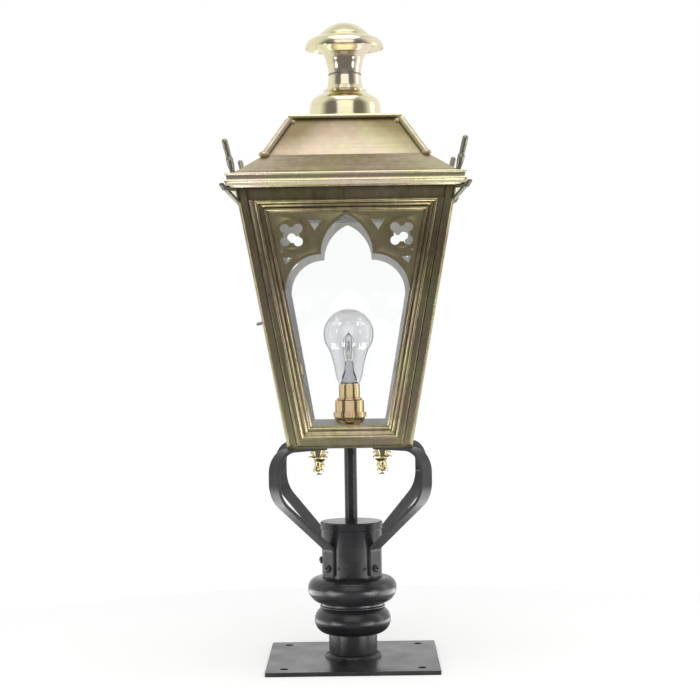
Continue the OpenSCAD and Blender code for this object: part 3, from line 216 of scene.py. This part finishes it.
def noise(tree, position, scale, detail):
    """A Noise texture at a position: a value between 0 and 1."""
    texture = add(tree, "ShaderNodeTexNoise", Scale=scale, Detail=detail)
    wire(tree, position, texture.inputs["Vector"])
    return texture.outputs["Fac"]


dust_grey, dust_dullness = (0.16, 0.16, 0.15, 1), 0.12
paint_skin, given, made = new_group(
    "paint_skin",
    [("Color", "NodeSocketColor", (0.02, 0.021, 0.023, 1)),
     ("Dust", "NodeSocketFloat", 0.1),
     ("Roughness", "NodeSocketFloat", 0.42)],
    [("Color", "NodeSocketColor"), ("Roughness", "NodeSocketFloat"), ("Height", "NodeSocketFloat")])
position = add(paint_skin, "ShaderNodeTexCoord").outputs["Object"]
patches = faded(paint_skin, noise(paint_skin, position, 26.0, 4.0), 0.35, 0.7, manner="LINEAR")
dusty = worked_out(paint_skin, "MULTIPLY", patches, given.outputs["Dust"])
wire(paint_skin, mixed(paint_skin, dusty, given.outputs["Color"], dust_grey), made.inputs["Color"])
wire(paint_skin, worked_out(paint_skin, "MULTIPLY_ADD", patches, dust_dullness,
                            given.outputs["Roughness"]), made.inputs["Roughness"])
wire(paint_skin, noise(paint_skin, position, 900.0, 2.0), made.inputs["Height"])


def finished(name, group, values, metallic, relief, relief_strength):
    """A finish: a group's colour, roughness and height on a shader, with the group's values."""
    material, output = new_material(name)
    tree = material.node_tree
    surface = add(tree, "ShaderNodeGroup", node_tree=group)
    for socket, value in values.items():
        surface.inputs[socket].default_value = value
    bump = add(tree, "ShaderNodeBump", Strength=relief_strength, Distance=relief)
    shader = add(tree, "ShaderNodeBsdfPrincipled", Metallic=metallic)
    wire(tree, surface.outputs["Height"], bump.inputs["Height"])
    wire(tree, surface.outputs["Color"], shader.inputs["Base Color"])
    wire(tree, surface.outputs["Roughness"], shader.inputs["Roughness"])
    wire(tree, bump.outputs[0], shader.inputs["Normal"])
    wire(tree, shader.outputs[0], output.inputs["Surface"])
    return material


def painted(name, color, dust, roughness):
    """Paint on steel or brass."""
    return finished(name, paint_skin, {"Color": (*color, 1), "Dust": dust, "Roughness": roughness},
                    metallic=0.0, relief=0.0003, relief_strength=0.25)


def dress(material, *names):
    """Gives a finish to CAD nodes that are shown as they are."""
    for name in names:
        for slot in nodes[name].material_slots:
            slot.material = material


merge_distance = 1e-6
flat_within, sharp_from = math.radians(0.8), math.radians(32)
inward_limit = -0.6


def eased(name, source, width, material, body="lantern", outwards=None, inner_material=None):
    """A copy of a CAD node with its sharp edges rounded over, which stands for the node.

    Where outwards is given, the faces that look the other way get the inner material.
    """
    work = bmesh.new()
    work.from_mesh(nodes[source].data)
    bmesh.ops.remove_doubles(work, verts=work.verts, dist=merge_distance)
    bmesh.ops.dissolve_limit(work, angle_limit=flat_within, verts=work.verts, edges=work.edges)
    mesh = bpy.data.meshes.new(name)
    work.to_mesh(mesh)
    work.free()
    mesh.shade_smooth()
    mesh.set_sharp_from_angle(angle=sharp_from)
    mesh.materials.append(material)
    if outwards:
        mesh.materials.append(inner_material)
        for face in mesh.polygons:
            face.material_index = int(face.normal.dot(Vector(outwards)) < inward_limit)
    piece = bpy.data.objects.new(name, mesh)
    scene.collection.objects.link(piece)
    edge = piece.modifiers.new("eased_edges", "BEVEL")
    edge.width, edge.segments = width, 2
    edge.limit_method, edge.angle_limit = "ANGLE", sharp_from
    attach(piece, body)
    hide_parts(source)


satin_black = painted("satin_black_paint", (0.013, 0.0135, 0.0155), dust=0.06, roughness=0.2)
plate_black = painted("base_plate_paint", (0.016, 0.016, 0.017), dust=0.25, roughness=0.25)
dress(satin_black, "pedestal_neck", "lower_ring", "upper_ring", "bracket_collar",
      "collar_set_screws")
eased("flat_base", "base_plate", 0.0007, plate_black)


def ring_tree(name):
    """A Geometry Nodes tree that sets lumps on a circle round the axis, turned to face outwards."""
    tree = bpy.data.node_groups.new(name, "GeometryNodeTree")
    for socket, kind in (("Count", "NodeSocketInt"), ("Radius", "NodeSocketFloat"),
                         ("Height", "NodeSocketFloat"), ("Turn", "NodeSocketFloat"),
                         ("Size", "NodeSocketVector"), ("Uneven", "NodeSocketFloat"),
                         ("Seed", "NodeSocketInt")):
        tree.interface.new_socket(socket, in_out="INPUT", socket_type=kind)
    tree.interface.new_socket("Geometry", in_out="OUTPUT", socket_type="NodeSocketGeometry")
    given, made = tree.nodes.new("NodeGroupInput"), tree.nodes.new("NodeGroupOutput")
    circle = add(tree, "GeometryNodeMeshCircle")
    wire(tree, given.outputs["Count"], circle.inputs["Vertices"])
    wire(tree, given.outputs["Radius"], circle.inputs["Radius"])
    lift, spin = add(tree, "ShaderNodeCombineXYZ"), add(tree, "ShaderNodeCombineXYZ")
    wire(tree, given.outputs["Height"], lift.inputs["Z"])
    wire(tree, given.outputs["Turn"], spin.inputs["Z"])
    ring = add(tree, "GeometryNodeTransform")
    wire(tree, circle.outputs["Mesh"], ring.inputs["Geometry"])
    wire(tree, lift.outputs[0], ring.inputs["Translation"])
    wire(tree, spin.outputs[0], ring.inputs["Rotation"])
    # The direction away from the axis, level
    level = add(tree, "ShaderNodeVectorMath", operation="MULTIPLY")
    wire(tree, add(tree, "GeometryNodeInputPosition").outputs[0], level.inputs[0])
    wire(tree, (1, 1, 0), level.inputs[1])
    outwards = add(tree, "FunctionNodeAlignRotationToVector", axis="X", pivot_axis="Z")
    wire(tree, level.outputs[0], outwards.inputs["Vector"])
    # Each lump is a little larger or smaller than its neighbours
    chance = add(tree, "FunctionNodeRandomValue", data_type="FLOAT")
    wire(tree, given.outputs["Seed"], chance.inputs["Seed"])
    least, most = (socket for socket in chance.inputs if socket.type == "VALUE" and socket.enabled)
    least.default_value, most.default_value = -1.0, 1.0
    drawn = next(socket for socket in chance.outputs if socket.enabled)
    size = add(tree, "ShaderNodeVectorMath", operation="SCALE")
    wire(tree, given.outputs["Size"], size.inputs[0])
    wire(tree, worked_out(tree, "MULTIPLY_ADD", drawn, given.outputs["Uneven"], 1.0),
         size.inputs["Scale"])
    lump = add(tree, "GeometryNodeMeshUVSphere", Segments=16, Rings=10, Radius=1.0)
    lumps = add(tree, "GeometryNodeInstanceOnPoints")
    wire(tree, ring.outputs[0], lumps.inputs["Points"])
    wire(tree, lump.outputs["Mesh"], lumps.inputs["Instance"])
    wire(tree, outwards.outputs[0], lumps.inputs["Rotation"])
    wire(tree, size.outputs[0], lumps.inputs["Scale"])
    real = add(tree, "GeometryNodeRealizeInstances")
    wire(tree, lumps.outputs[0], real.inputs[0])
    smooth = add(tree, "GeometryNodeSetShadeSmooth")
    wire(tree, real.outputs[0], smooth.inputs[0])
    finish = add(tree, "GeometryNodeSetMaterial")
    finish.name = "finish"
    wire(tree, smooth.outputs[0], finish.inputs["Geometry"])
    wire(tree, finish.outputs[0], made.inputs["Geometry"])
    return tree


def grown(name, tree, material, body="lantern", **sizes):
    """Runs a Geometry Nodes tree with its sizes and keeps the result as a plain mesh on a body."""
    piece = bpy.data.objects.new(name, bpy.data.meshes.new(name))
    scene.collection.objects.link(piece)
    tree.nodes["finish"].inputs["Material"].default_value = material
    growth = piece.modifiers.new(name, "NODES")
    growth.node_group = tree
    for item in tree.interface.items_tree:
        if item.in_out == "INPUT" and item.name in sizes:
            growth[item.identifier] = sizes[item.name]
    bpy.context.view_layer.update()
    shape = piece.evaluated_get(bpy.context.evaluated_depsgraph_get())
    mesh = bpy.data.meshes.new_from_object(shape)
    piece.modifiers.clear()
    piece.data = mesh
    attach(piece, body)


# The weld round the foot of the neck, laid in short overlapping ripples
neck_radius_at_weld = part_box("pedestal_neck")[1][0]
plate_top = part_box("base_plate")[1][2]
weld_size, ripple_half_length, weld_rise = 0.005, 0.0016, 0.0004
grown("neck_weld", ring_tree("weld_ripples"), satin_black, Count=88,
      Radius=neck_radius_at_weld - weld_size, Height=plate_top + weld_rise, Turn=0.0,
      Size=(weld_size * 0.99, ripple_half_length, weld_size * 0.96), Uneven=0.04, Seed=3)

# --- Bracket ---
# Four flat bars of steel, bent cold, with eased edges. Their feet are screwed to the collar, and
# the studs of the tray hold their upper ends. The thin stem tube between them carries the cable.

bar_black = painted("bar_paint", (0.009, 0.010, 0.010), dust=0.06, roughness=0.30)
for corner in ("front_left", "front_right", "rear_left", "rear_right"):
    eased("bent_bar_" + corner, "arm_" + corner, 0.0006, bar_black)
dress(satin_black, "arm_screws", "clamp_screw", "stem_tube")

# --- Lantern foot ---
# A square brass tray closes the body and is locked on the stem tube by a nut. Threaded studs pass
# through it and the arms, with plain nuts inside and turned nuts with a ball below.

aged_brass, given, made = new_group(
    "aged_brass",
    [("Bright", "NodeSocketColor", (0.42, 0.36, 0.22, 1)),
     ("Dark", "NodeSocketColor", (0.15, 0.12, 0.07, 1)),
     ("Tarnish", "NodeSocketFloat", 0.5),
     ("Grain", "NodeSocketVector", (20, 20, 400)),
     ("Roughness", "NodeSocketFloat", 0.36),
     ("Recess", "NodeSocketFloat", 0.6),
     ("Low", "NodeSocketFloat", 0.0),
     ("High", "NodeSocketFloat", 1.0),
     ("Top Shade", "NodeSocketFloat", 0.0),
     ("Hip Shade", "NodeSocketFloat", 0.0)],
    [("Color", "NodeSocketColor"), ("Roughness", "NodeSocketFloat"), ("Height", "NodeSocketFloat")])
position = add(aged_brass, "ShaderNodeTexCoord").outputs["Object"]
# Clouds, specks and brushed lines of patina
clouds = noise(aged_brass, position, 11.0, 5.0)
mottle = noise(aged_brass, position, 120.0, 4.0)
brushed = add(aged_brass, "ShaderNodeVectorMath", operation="MULTIPLY")
wire(aged_brass, position, brushed.inputs[0])
wire(aged_brass, given.outputs["Grain"], brushed.inputs[1])
streaks = noise(aged_brass, brushed.outputs[0], 1.0, 5.0)
marks = worked_out(aged_brass, "MULTIPLY_ADD", mottle, 0.45, clouds)
lines = worked_out(aged_brass, "MULTIPLY_ADD", streaks, 0.5, marks)
cover = worked_out(aged_brass, "MULTIPLY", faded(aged_brass, lines, 0.7, 1.25, manner="LINEAR"),
                   given.outputs["Tarnish"])
# Painted shade towards the top of a piece, as under the eave and under the crown
heights = add(aged_brass, "ShaderNodeSeparateXYZ")
wire(aged_brass, position, heights.inputs[0])
climb = faded(aged_brass, heights.outputs["Z"], given.outputs["Low"], given.outputs["High"])
top_shaded = worked_out(aged_brass, "MULTIPLY_ADD", climb, given.outputs["Top Shade"], cover)
# Painted shade along the hips, where |X| equals |Y|, for the shade on the sheet beside its hip
# beads. A negative amount paints light there instead
hip_shade_reach = 0.055
off_hip = worked_out(aged_brass, "ABSOLUTE", worked_out(
    aged_brass, "SUBTRACT", worked_out(aged_brass, "ABSOLUTE", heights.outputs["X"]),
    worked_out(aged_brass, "ABSOLUTE", heights.outputs["Y"])))
near_hip = faded(aged_brass, off_hip, 0.0, hip_shade_reach, low=1.0, high=0.0)
hip_shaded = worked_out(aged_brass, "MULTIPLY_ADD", near_hip, given.outputs["Hip Shade"], top_shaded)
# Recesses keep the dark patina, and what stands out is rubbed bright
recess = add(aged_brass, "ShaderNodeAmbientOcclusion", samples=6, Distance=0.008)
shaded = faded(aged_brass, recess.outputs["AO"], 0.35, 0.95, low=1.0, high=0.0, manner="LINEAR")
patina_and_shade = worked_out(aged_brass, "MULTIPLY_ADD", shaded, given.outputs["Recess"], hip_shaded,
                    clamped=True)
tint = mixed(aged_brass, patina_and_shade, given.outputs["Bright"], given.outputs["Dark"])
# Slow changes of hue between olive and rose, as on hand-rubbed antique brass
olive, rose = (0.97, 1.0, 0.86, 1), (1.0, 0.94, 0.97, 1)
warm = faded(aged_brass, noise(aged_brass, position, 17.0, 2.0), 0.4, 0.62)
toned = mixed(aged_brass, 1.0, tint, mixed(aged_brass, warm, olive, rose), blend_type="MULTIPLY")
patina_dullness = 0.14
wire(aged_brass, toned, made.inputs["Color"])
wire(aged_brass, worked_out(aged_brass, "MULTIPLY_ADD", patina_and_shade, patina_dullness,
                            given.outputs["Roughness"]), made.inputs["Roughness"])
wire(aged_brass, lines, made.inputs["Height"])


def brass(name, bright, dark, tarnish, grain, roughness, relief, recess=0.6, low=0.0, high=1.0,
          top_shade=0.0, hip_shade=0.0):
    """Brass with its own colours, patina, painted shade, direction of brushing and polish."""
    return finished(name, aged_brass, {
        "Bright": (*bright, 1), "Dark": (*dark, 1), "Tarnish": tarnish, "Grain": grain,
        "Roughness": roughness, "Recess": recess, "Low": low, "High": high,
        "Top Shade": top_shade, "Hip Shade": hip_shade}, metallic=1.0, relief=relief, relief_strength=0.3)


along_uprights, along_levels = (150, 150, 4), (6, 6, 420)
round_the_lathe, not_brushed = (4, 4, 300), (90, 90, 90)
body_foot, body_head = (corner[2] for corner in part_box("front_frame"))
# The moulding is painted darker towards the top of the body, as painted shade under the eave
moulded_brass = brass("antique_moulding", (0.68, 0.60, 0.41), (0.18, 0.145, 0.085), tarnish=0.62,
                      grain=along_uprights, roughness=0.20, relief=0.00006, recess=0.75,
                      low=body_foot, high=body_head, top_shade=0.4)
nut_brass = brass("turned_nut", (0.80, 0.72, 0.52), (0.30, 0.25, 0.14), tarnish=0.35,
                  grain=round_the_lathe, roughness=0.15, relief=0.0001, recess=0.6)
dress(moulded_brass, "base_tray", "stem_locknuts", "base_stud_nuts")
dress(nut_brass, "base_finials", "base_studs")

# --- Lantern body ---
# Corner posts, top rails and four mitred frames of drawn brass moulding, darkened to an even olive
# brown, with painted shade towards the eave. Each frame holds a pierced brass fret with eased edges,
# and clips for its pane. The insides of the walls are painted pale, as painted light behind the
# panes.

cast_brass = brass("antique_casting", (0.60, 0.53, 0.33), (0.23, 0.19, 0.11), tarnish=0.6,
                   grain=not_brushed, roughness=0.26, relief=0.0003)
# A pale colour on the insides of the walls: painted light, as they look lit behind the panes
inner_face_painted_light = painted("pale_inner_face_painted_light", (0.72, 0.70, 0.74), dust=0.1, roughness=0.5)
dress(moulded_brass, "post_front_left", "post_front_right", "post_rear_left", "post_rear_right",
      "top_rails", "glazing_clips", "door_clips")
for wall, body, outwards in (("front", "lantern", (0, -1, 0)), ("right", "lantern", (1, 0, 0)),
                             ("rear", "lantern", (0, 1, 0)), ("door", "door", (-1, 0, 0))):
    eased(wall + "_tracery", wall + "_fret", 0.0005, cast_brass, body, outwards, inner_face_painted_light)
    eased(wall + "_moulded_frame", wall + "_frame", 0.0003, moulded_brass, body, outwards,
          inner_face_painted_light)

# --- Door fittings ---
# Hinge leaves with loose pins on the rear left post, and a knob that turns the latch's tongue. They
# are small brass castings, left dull.

fitting_brass = brass("dull_fittings", (0.42, 0.41, 0.36), (0.17, 0.16, 0.14), tarnish=0.5,
                      grain=not_brushed, roughness=0.30, relief=0.0003)
dress(fitting_brass, "post_hinge_leaves", "door_hinge_leaves", "hinge_pins", "latch_knob",
      "latch_tongue")

# --- Roof ---
# Folded brass sheet over a moulded eave. The hood is painted with shade, darkest under the crown and
# along its hips, whose beads are soldered on. A blackened strap is folded from each post to the
# corner of the eave over it, and a turned spire stands on the corner.

hood_low, hood_high = (corner[2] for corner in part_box("roof_hood"))
# The hood is painted darker towards the crown and along the hips, and the skirt lighter by the hips:
# painted shade and light
hood_brass = brass("hood_sheet", (0.62, 0.55, 0.41), (0.24, 0.19, 0.11), tarnish=0.32,
                   grain=along_levels, roughness=0.30, relief=0.0002, recess=0.15,
                   low=hood_low, high=hood_high, top_shade=0.6, hip_shade=0.5)
skirt_brass = brass("skirt_sheet", (0.52, 0.46, 0.33), (0.22, 0.175, 0.10), tarnish=0.9,
                    grain=along_levels, roughness=0.30, relief=0.0002, recess=0.3, hip_shade=-0.5)
rubbed_brass = brass("rubbed_moulding", (0.95, 0.87, 0.68), (0.50, 0.42, 0.29), tarnish=0.35,
                     grain=along_levels, roughness=0.25, relief=0.0002, recess=0.15)
hip_brass = brass("hip_bead", (0.68, 0.61, 0.45), (0.36, 0.30, 0.19), tarnish=0.7,
                  grain=not_brushed, roughness=0.34, relief=0.0002, recess=0.0)
strap_brass = brass("blackened_strap", (0.19, 0.185, 0.16), (0.08, 0.075, 0.065), tarnish=0.5,
                    grain=not_brushed, roughness=0.34, relief=0.0003)
dress(hood_brass, "roof_hood")
dress(skirt_brass, "roof_skirt")
dress(rubbed_brass, "eave_moulding", "roof_crown")
dress(hip_brass, "hip_beads")
dress(fitting_brass, "corner_spires")
eased("strap_elbows", "corner_straps", 0.0005, strap_brass)
# Beads of solder where the hips meet the crown and the skirt
(_, _, hip_foot), (hip_reach, _, hip_head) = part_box("hip_beads")
crown_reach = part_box("roof_crown")[1][0]
set_in = 0.0050
solder_tree = ring_tree("hip_solder")
for name, reach, height, size, seed in (
        ("crown_solder", crown_reach - set_in, hip_head - 0.0045, (0.0060, 0.0060, 0.0042), 5),
        ("skirt_solder", hip_reach - set_in, hip_foot + 0.0010, (0.0062, 0.0056, 0.0034), 8)):
    grown(name, solder_tree, hip_brass, Count=4, Radius=reach * math.sqrt(2), Height=height,
          Turn=math.pi / 4, Size=size, Uneven=0.15, Seed=seed)

# --- Finial ---
# A turned base and vase with a spun brim, all of bright brass on one rod. The brim is a low dome on
# a flared skirt with a rolled lip.


def flowing(points, steps=5):
    """A smooth line through (radius, height) points."""
    ends = [points[0]] + points + [points[-1]]
    line = []
    for before, start, end, after in zip(ends, ends[1:], ends[2:], ends[3:]):
        for step in range(steps):
            t = step / steps
            line.append(tuple(0.5 * (2 * b + (c - a) * t + (2 * a - 5 * b + 4 * c - d) * t ** 2
                                     + (3 * b - a - 3 * c + d) * t ** 3)
                              for a, b, c, d in zip(before, start, end, after)))
    return line + [points[-1]]


turned_sharp_from = math.radians(50)


def turned(name, outline, material, steps=40):
    """A closed form turned round the lantern's axis from (radius, height) points."""
    work = bmesh.new()
    points = [work.verts.new((radius, 0, height)) for radius, height in outline]
    lines = [work.edges.new(pair) for pair in zip(points, points[1:])]
    bmesh.ops.spin(work, geom=points + lines, cent=(0, 0, 0), axis=(0, 0, 1), angle=math.tau,
                   steps=steps)
    bmesh.ops.remove_doubles(work, verts=work.verts, dist=merge_distance)
    bmesh.ops.recalc_face_normals(work, faces=work.faces)
    mesh = bpy.data.meshes.new(name)
    work.to_mesh(mesh)
    work.free()
    mesh.shade_smooth()
    mesh.set_sharp_from_angle(angle=turned_sharp_from)
    mesh.materials.append(material)
    piece = bpy.data.objects.new(name, mesh)
    scene.collection.objects.link(piece)
    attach(piece, "lantern")
    return piece


finial_brass = brass("turned_brass", (0.86, 0.79, 0.60), (0.48, 0.42, 0.26), tarnish=0.3,
                     grain=round_the_lathe, roughness=0.15, relief=0.0001, recess=0.0)
dress(finial_brass, "finial_base", "finial_vase")
dress(rubbed_brass, "finial_rod")
(_, _, lip_foot), (brim_r, _, cap_top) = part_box("finial_brim")
vase_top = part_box("finial_vase")[1][2]
skirt_line = flowing([
    (brim_r * 0.768, vase_top), (brim_r * 0.860, vase_top - 0.0030),
    (brim_r * 0.940, vase_top - 0.0072), (brim_r * 0.973, lip_foot + 0.0018),
    (brim_r * 0.981, lip_foot + 0.0003), (brim_r * 0.991, lip_foot),
    (brim_r, lip_foot + 0.0008), (brim_r * 0.998, lip_foot + 0.0030),
    (brim_r * 0.968, lip_foot + 0.0070), (brim_r * 0.890, lip_foot + 0.0112),
    (brim_r * 0.779, lip_foot + 0.0138), (brim_r * 0.667, lip_foot + 0.0154)])
cap_line = flowing([
    (brim_r * 0.630, lip_foot + 0.0161), (brim_r * 0.616, lip_foot + 0.0176),
    (brim_r * 0.580, cap_top - 0.0118), (brim_r * 0.473, cap_top - 0.0074),
    (brim_r * 0.338, cap_top - 0.0034), (brim_r * 0.170, cap_top - 0.0007), (0, cap_top)])
brim = turned("flared_brim", [(0, vase_top)] + skirt_line + cap_line, finial_brass, steps=72)
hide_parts("finial_brim")
# The vase stands on the base with a thin lip of dull brass, which paints the shadow line of the
# joint
joint, near_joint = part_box("finial_vase")[0][2], 0.0004
joint_r = max(point.co.xy.length for point in nodes["finial_vase"].data.vertices
              if point.co.z < joint + near_joint)
turned("vase_foot_shadow_lip", [
    (joint_r - 0.0020, joint - 0.0012), (joint_r + 0.0005, joint - 0.0012),
    (joint_r + 0.0009, joint - 0.0006), (joint_r + 0.0007, joint + 0.0006),
    (joint_r - 0.0020, joint + 0.0006), (joint_r - 0.0020, joint - 0.0012)],
    fitting_brass, steps=48)

# --- Panes ---
# Flat clear window glass, one pane in each wall. The panes are cut to the taper of the walls and
# held by clips from inside.


def clear_glass(name, color, roughness, ior):
    """Clear glass with a slight tint, which lets the lamps light what stands behind it."""
    material, output = new_material(name)
    tree = material.node_tree
    shader = add(tree, "ShaderNodeBsdfPrincipled", Roughness=roughness, IOR=ior)
    shader.inputs["Base Color"].default_value = (*color, 1)
    shader.inputs["Transmission Weight"].default_value = 1.0
    passing = add(tree, "ShaderNodeBsdfTransparent", Color=(*color, 1))
    rays = add(tree, "ShaderNodeLightPath")
    lit = worked_out(tree, "MAXIMUM", rays.outputs["Is Shadow Ray"], rays.outputs["Is Diffuse Ray"])
    either = add(tree, "ShaderNodeMixShader")
    wire(tree, lit, either.inputs[0])
    wire(tree, shader.outputs[0], either.inputs[1])
    wire(tree, passing.outputs[0], either.inputs[2])
    wire(tree, either.outputs[0], output.inputs["Surface"])
    return material


pane_glass = clear_glass("pane_glass", (0.99, 1.0, 0.995), roughness=0.0, ior=1.25)
dress(pane_glass, "front_glass", "right_glass", "rear_glass", "door_glass")

# --- Lamp holder ---
# A bayonet holder of turned and lacquered brass: cup, ring and body. It is screwed on a threaded
# nipple in the end of the stem tube.

holder_brass = brass("lacquered_brass", (0.70, 0.53, 0.31), (0.32, 0.21, 0.10), tarnish=0.2,
                     grain=round_the_lathe, roughness=0.12, relief=0.0001, recess=0.4)
dress(holder_brass, "holder_cup", "holder_ring", "holder_body", "lamp_nipple")

# --- Bulb ---
# A clear halogen bulb with a bayonet cap: a thin blown envelope round a small sealed capsule, which
# two wires carry above the pressed glass stem that closes the neck.

envelope_glass = clear_glass("bulb_envelope", (0.83, 0.83, 0.845), roughness=0.0, ior=1.48)
stem_glass = clear_glass("bulb_stem_glass", (0.62, 0.60, 0.64), roughness=0.08, ior=1.5)
capsule_glass = clear_glass("halogen_capsule", (0.78, 0.77, 0.80), roughness=0.0, ior=1.5)
cap_metal = brass("bulb_cap_metal", (0.75, 0.75, 0.76), (0.45, 0.45, 0.46), tarnish=0.2,
                  grain=round_the_lathe, roughness=0.25, relief=0.0001, recess=0.2)
lead_wire = brass("lead_wire", (0.62, 0.61, 0.60), (0.3, 0.3, 0.3), tarnish=0.3,
                  grain=not_brushed, roughness=0.3, relief=0.0001, recess=0.0)
dress(envelope_glass, "bulb_glass")
dress(cap_metal, "bulb_cap")


def bent_wire(name, routes, radius, material):
    """Round wires along lists of points, as one mesh."""
    curve = bpy.data.curves.new(name, "CURVE")
    curve.dimensions = "3D"
    curve.bevel_depth, curve.bevel_resolution, curve.use_fill_caps = radius, 2, True
    for route in routes:
        line = curve.splines.new("POLY")
        line.points.add(len(route) - 1)
        for point, place in zip(line.points, route):
            point.co = (*place, 1)
    shaper = bpy.data.objects.new(name + "_route", curve)
    scene.collection.objects.link(shaper)
    bpy.context.view_layer.update()
    shape = shaper.evaluated_get(bpy.context.evaluated_depsgraph_get())
    mesh = bpy.data.meshes.new_from_object(shape)
    bpy.data.objects.remove(shaper)
    mesh.materials.clear()
    mesh.materials.append(material)
    piece = bpy.data.objects.new(name, mesh)
    scene.collection.objects.link(piece)
    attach(piece, "lantern")


neck_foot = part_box("bulb_stem")[0][2]
stem = turned("glass_stem", [
    (0, neck_foot), (0.0102, neck_foot), (0.0100, neck_foot + 0.004),
    (0.0084, neck_foot + 0.009), (0.0066, neck_foot + 0.013), (0.0057, neck_foot + 0.017),
    (0.0054, neck_foot + 0.022), (0.0056, neck_foot + 0.024), (0.0045, neck_foot + 0.0265),
    (0, neck_foot + 0.0275)], stem_glass)
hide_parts("bulb_stem")
capsule_foot = neck_foot + 0.036
turned("capsule_bulb", [
    (0, capsule_foot), (0.0030, capsule_foot), (0.0042, capsule_foot + 0.002),
    (0.0043, capsule_foot + 0.004), (0.0043, capsule_foot + 0.018),
    (0.0038, capsule_foot + 0.0205), (0.0024, capsule_foot + 0.0225),
    (0.0009, capsule_foot + 0.0240), (0.0006, capsule_foot + 0.0262),
    (0, capsule_foot + 0.0265)], capsule_glass)
turned("capsule_pinch", [
    (0, capsule_foot - 0.0065), (0.0028, capsule_foot - 0.0065), (0.0033, capsule_foot - 0.005),
    (0.0033, capsule_foot - 0.0015), (0.0028, capsule_foot), (0, capsule_foot)],
    lead_wire, steps=6)
# On each side one wire climbs to the capsule's tip and a short one stands in its pinch
wires = []
for side in (-1, 1):
    wires.append([(side * 0.0032, 0, neck_foot + 0.020), (side * 0.0045, 0, neck_foot + 0.027),
                  (side * 0.0062, 0, neck_foot + 0.033), (side * 0.0062, 0, capsule_foot + 0.016),
                  (side * 0.0050, 0, capsule_foot + 0.0185),
                  (side * 0.0036, 0, capsule_foot + 0.021)])
    wires.append([(side * 0.0013, 0.0004, neck_foot + 0.026),
                  (side * 0.0017, 0.0002, neck_foot + 0.029),
                  (side * 0.0017, 0, capsule_foot - 0.0066)])
bent_wire("lead_wires", wires, 0.0005, lead_wire)
coil_turns, steps_in_turn, coil_r, coil_length = 9, 14, 0.0011, 0.012
coil_foot, coil_steps = capsule_foot + 0.003, coil_turns * steps_in_turn
coil = [(coil_r * math.cos(step * math.tau / steps_in_turn),
         coil_r * math.sin(step * math.tau / steps_in_turn),
         coil_foot + coil_length * step / coil_steps) for step in range(coil_steps + 1)]
bent_wire("filament", [coil], 0.00025, lead_wire)
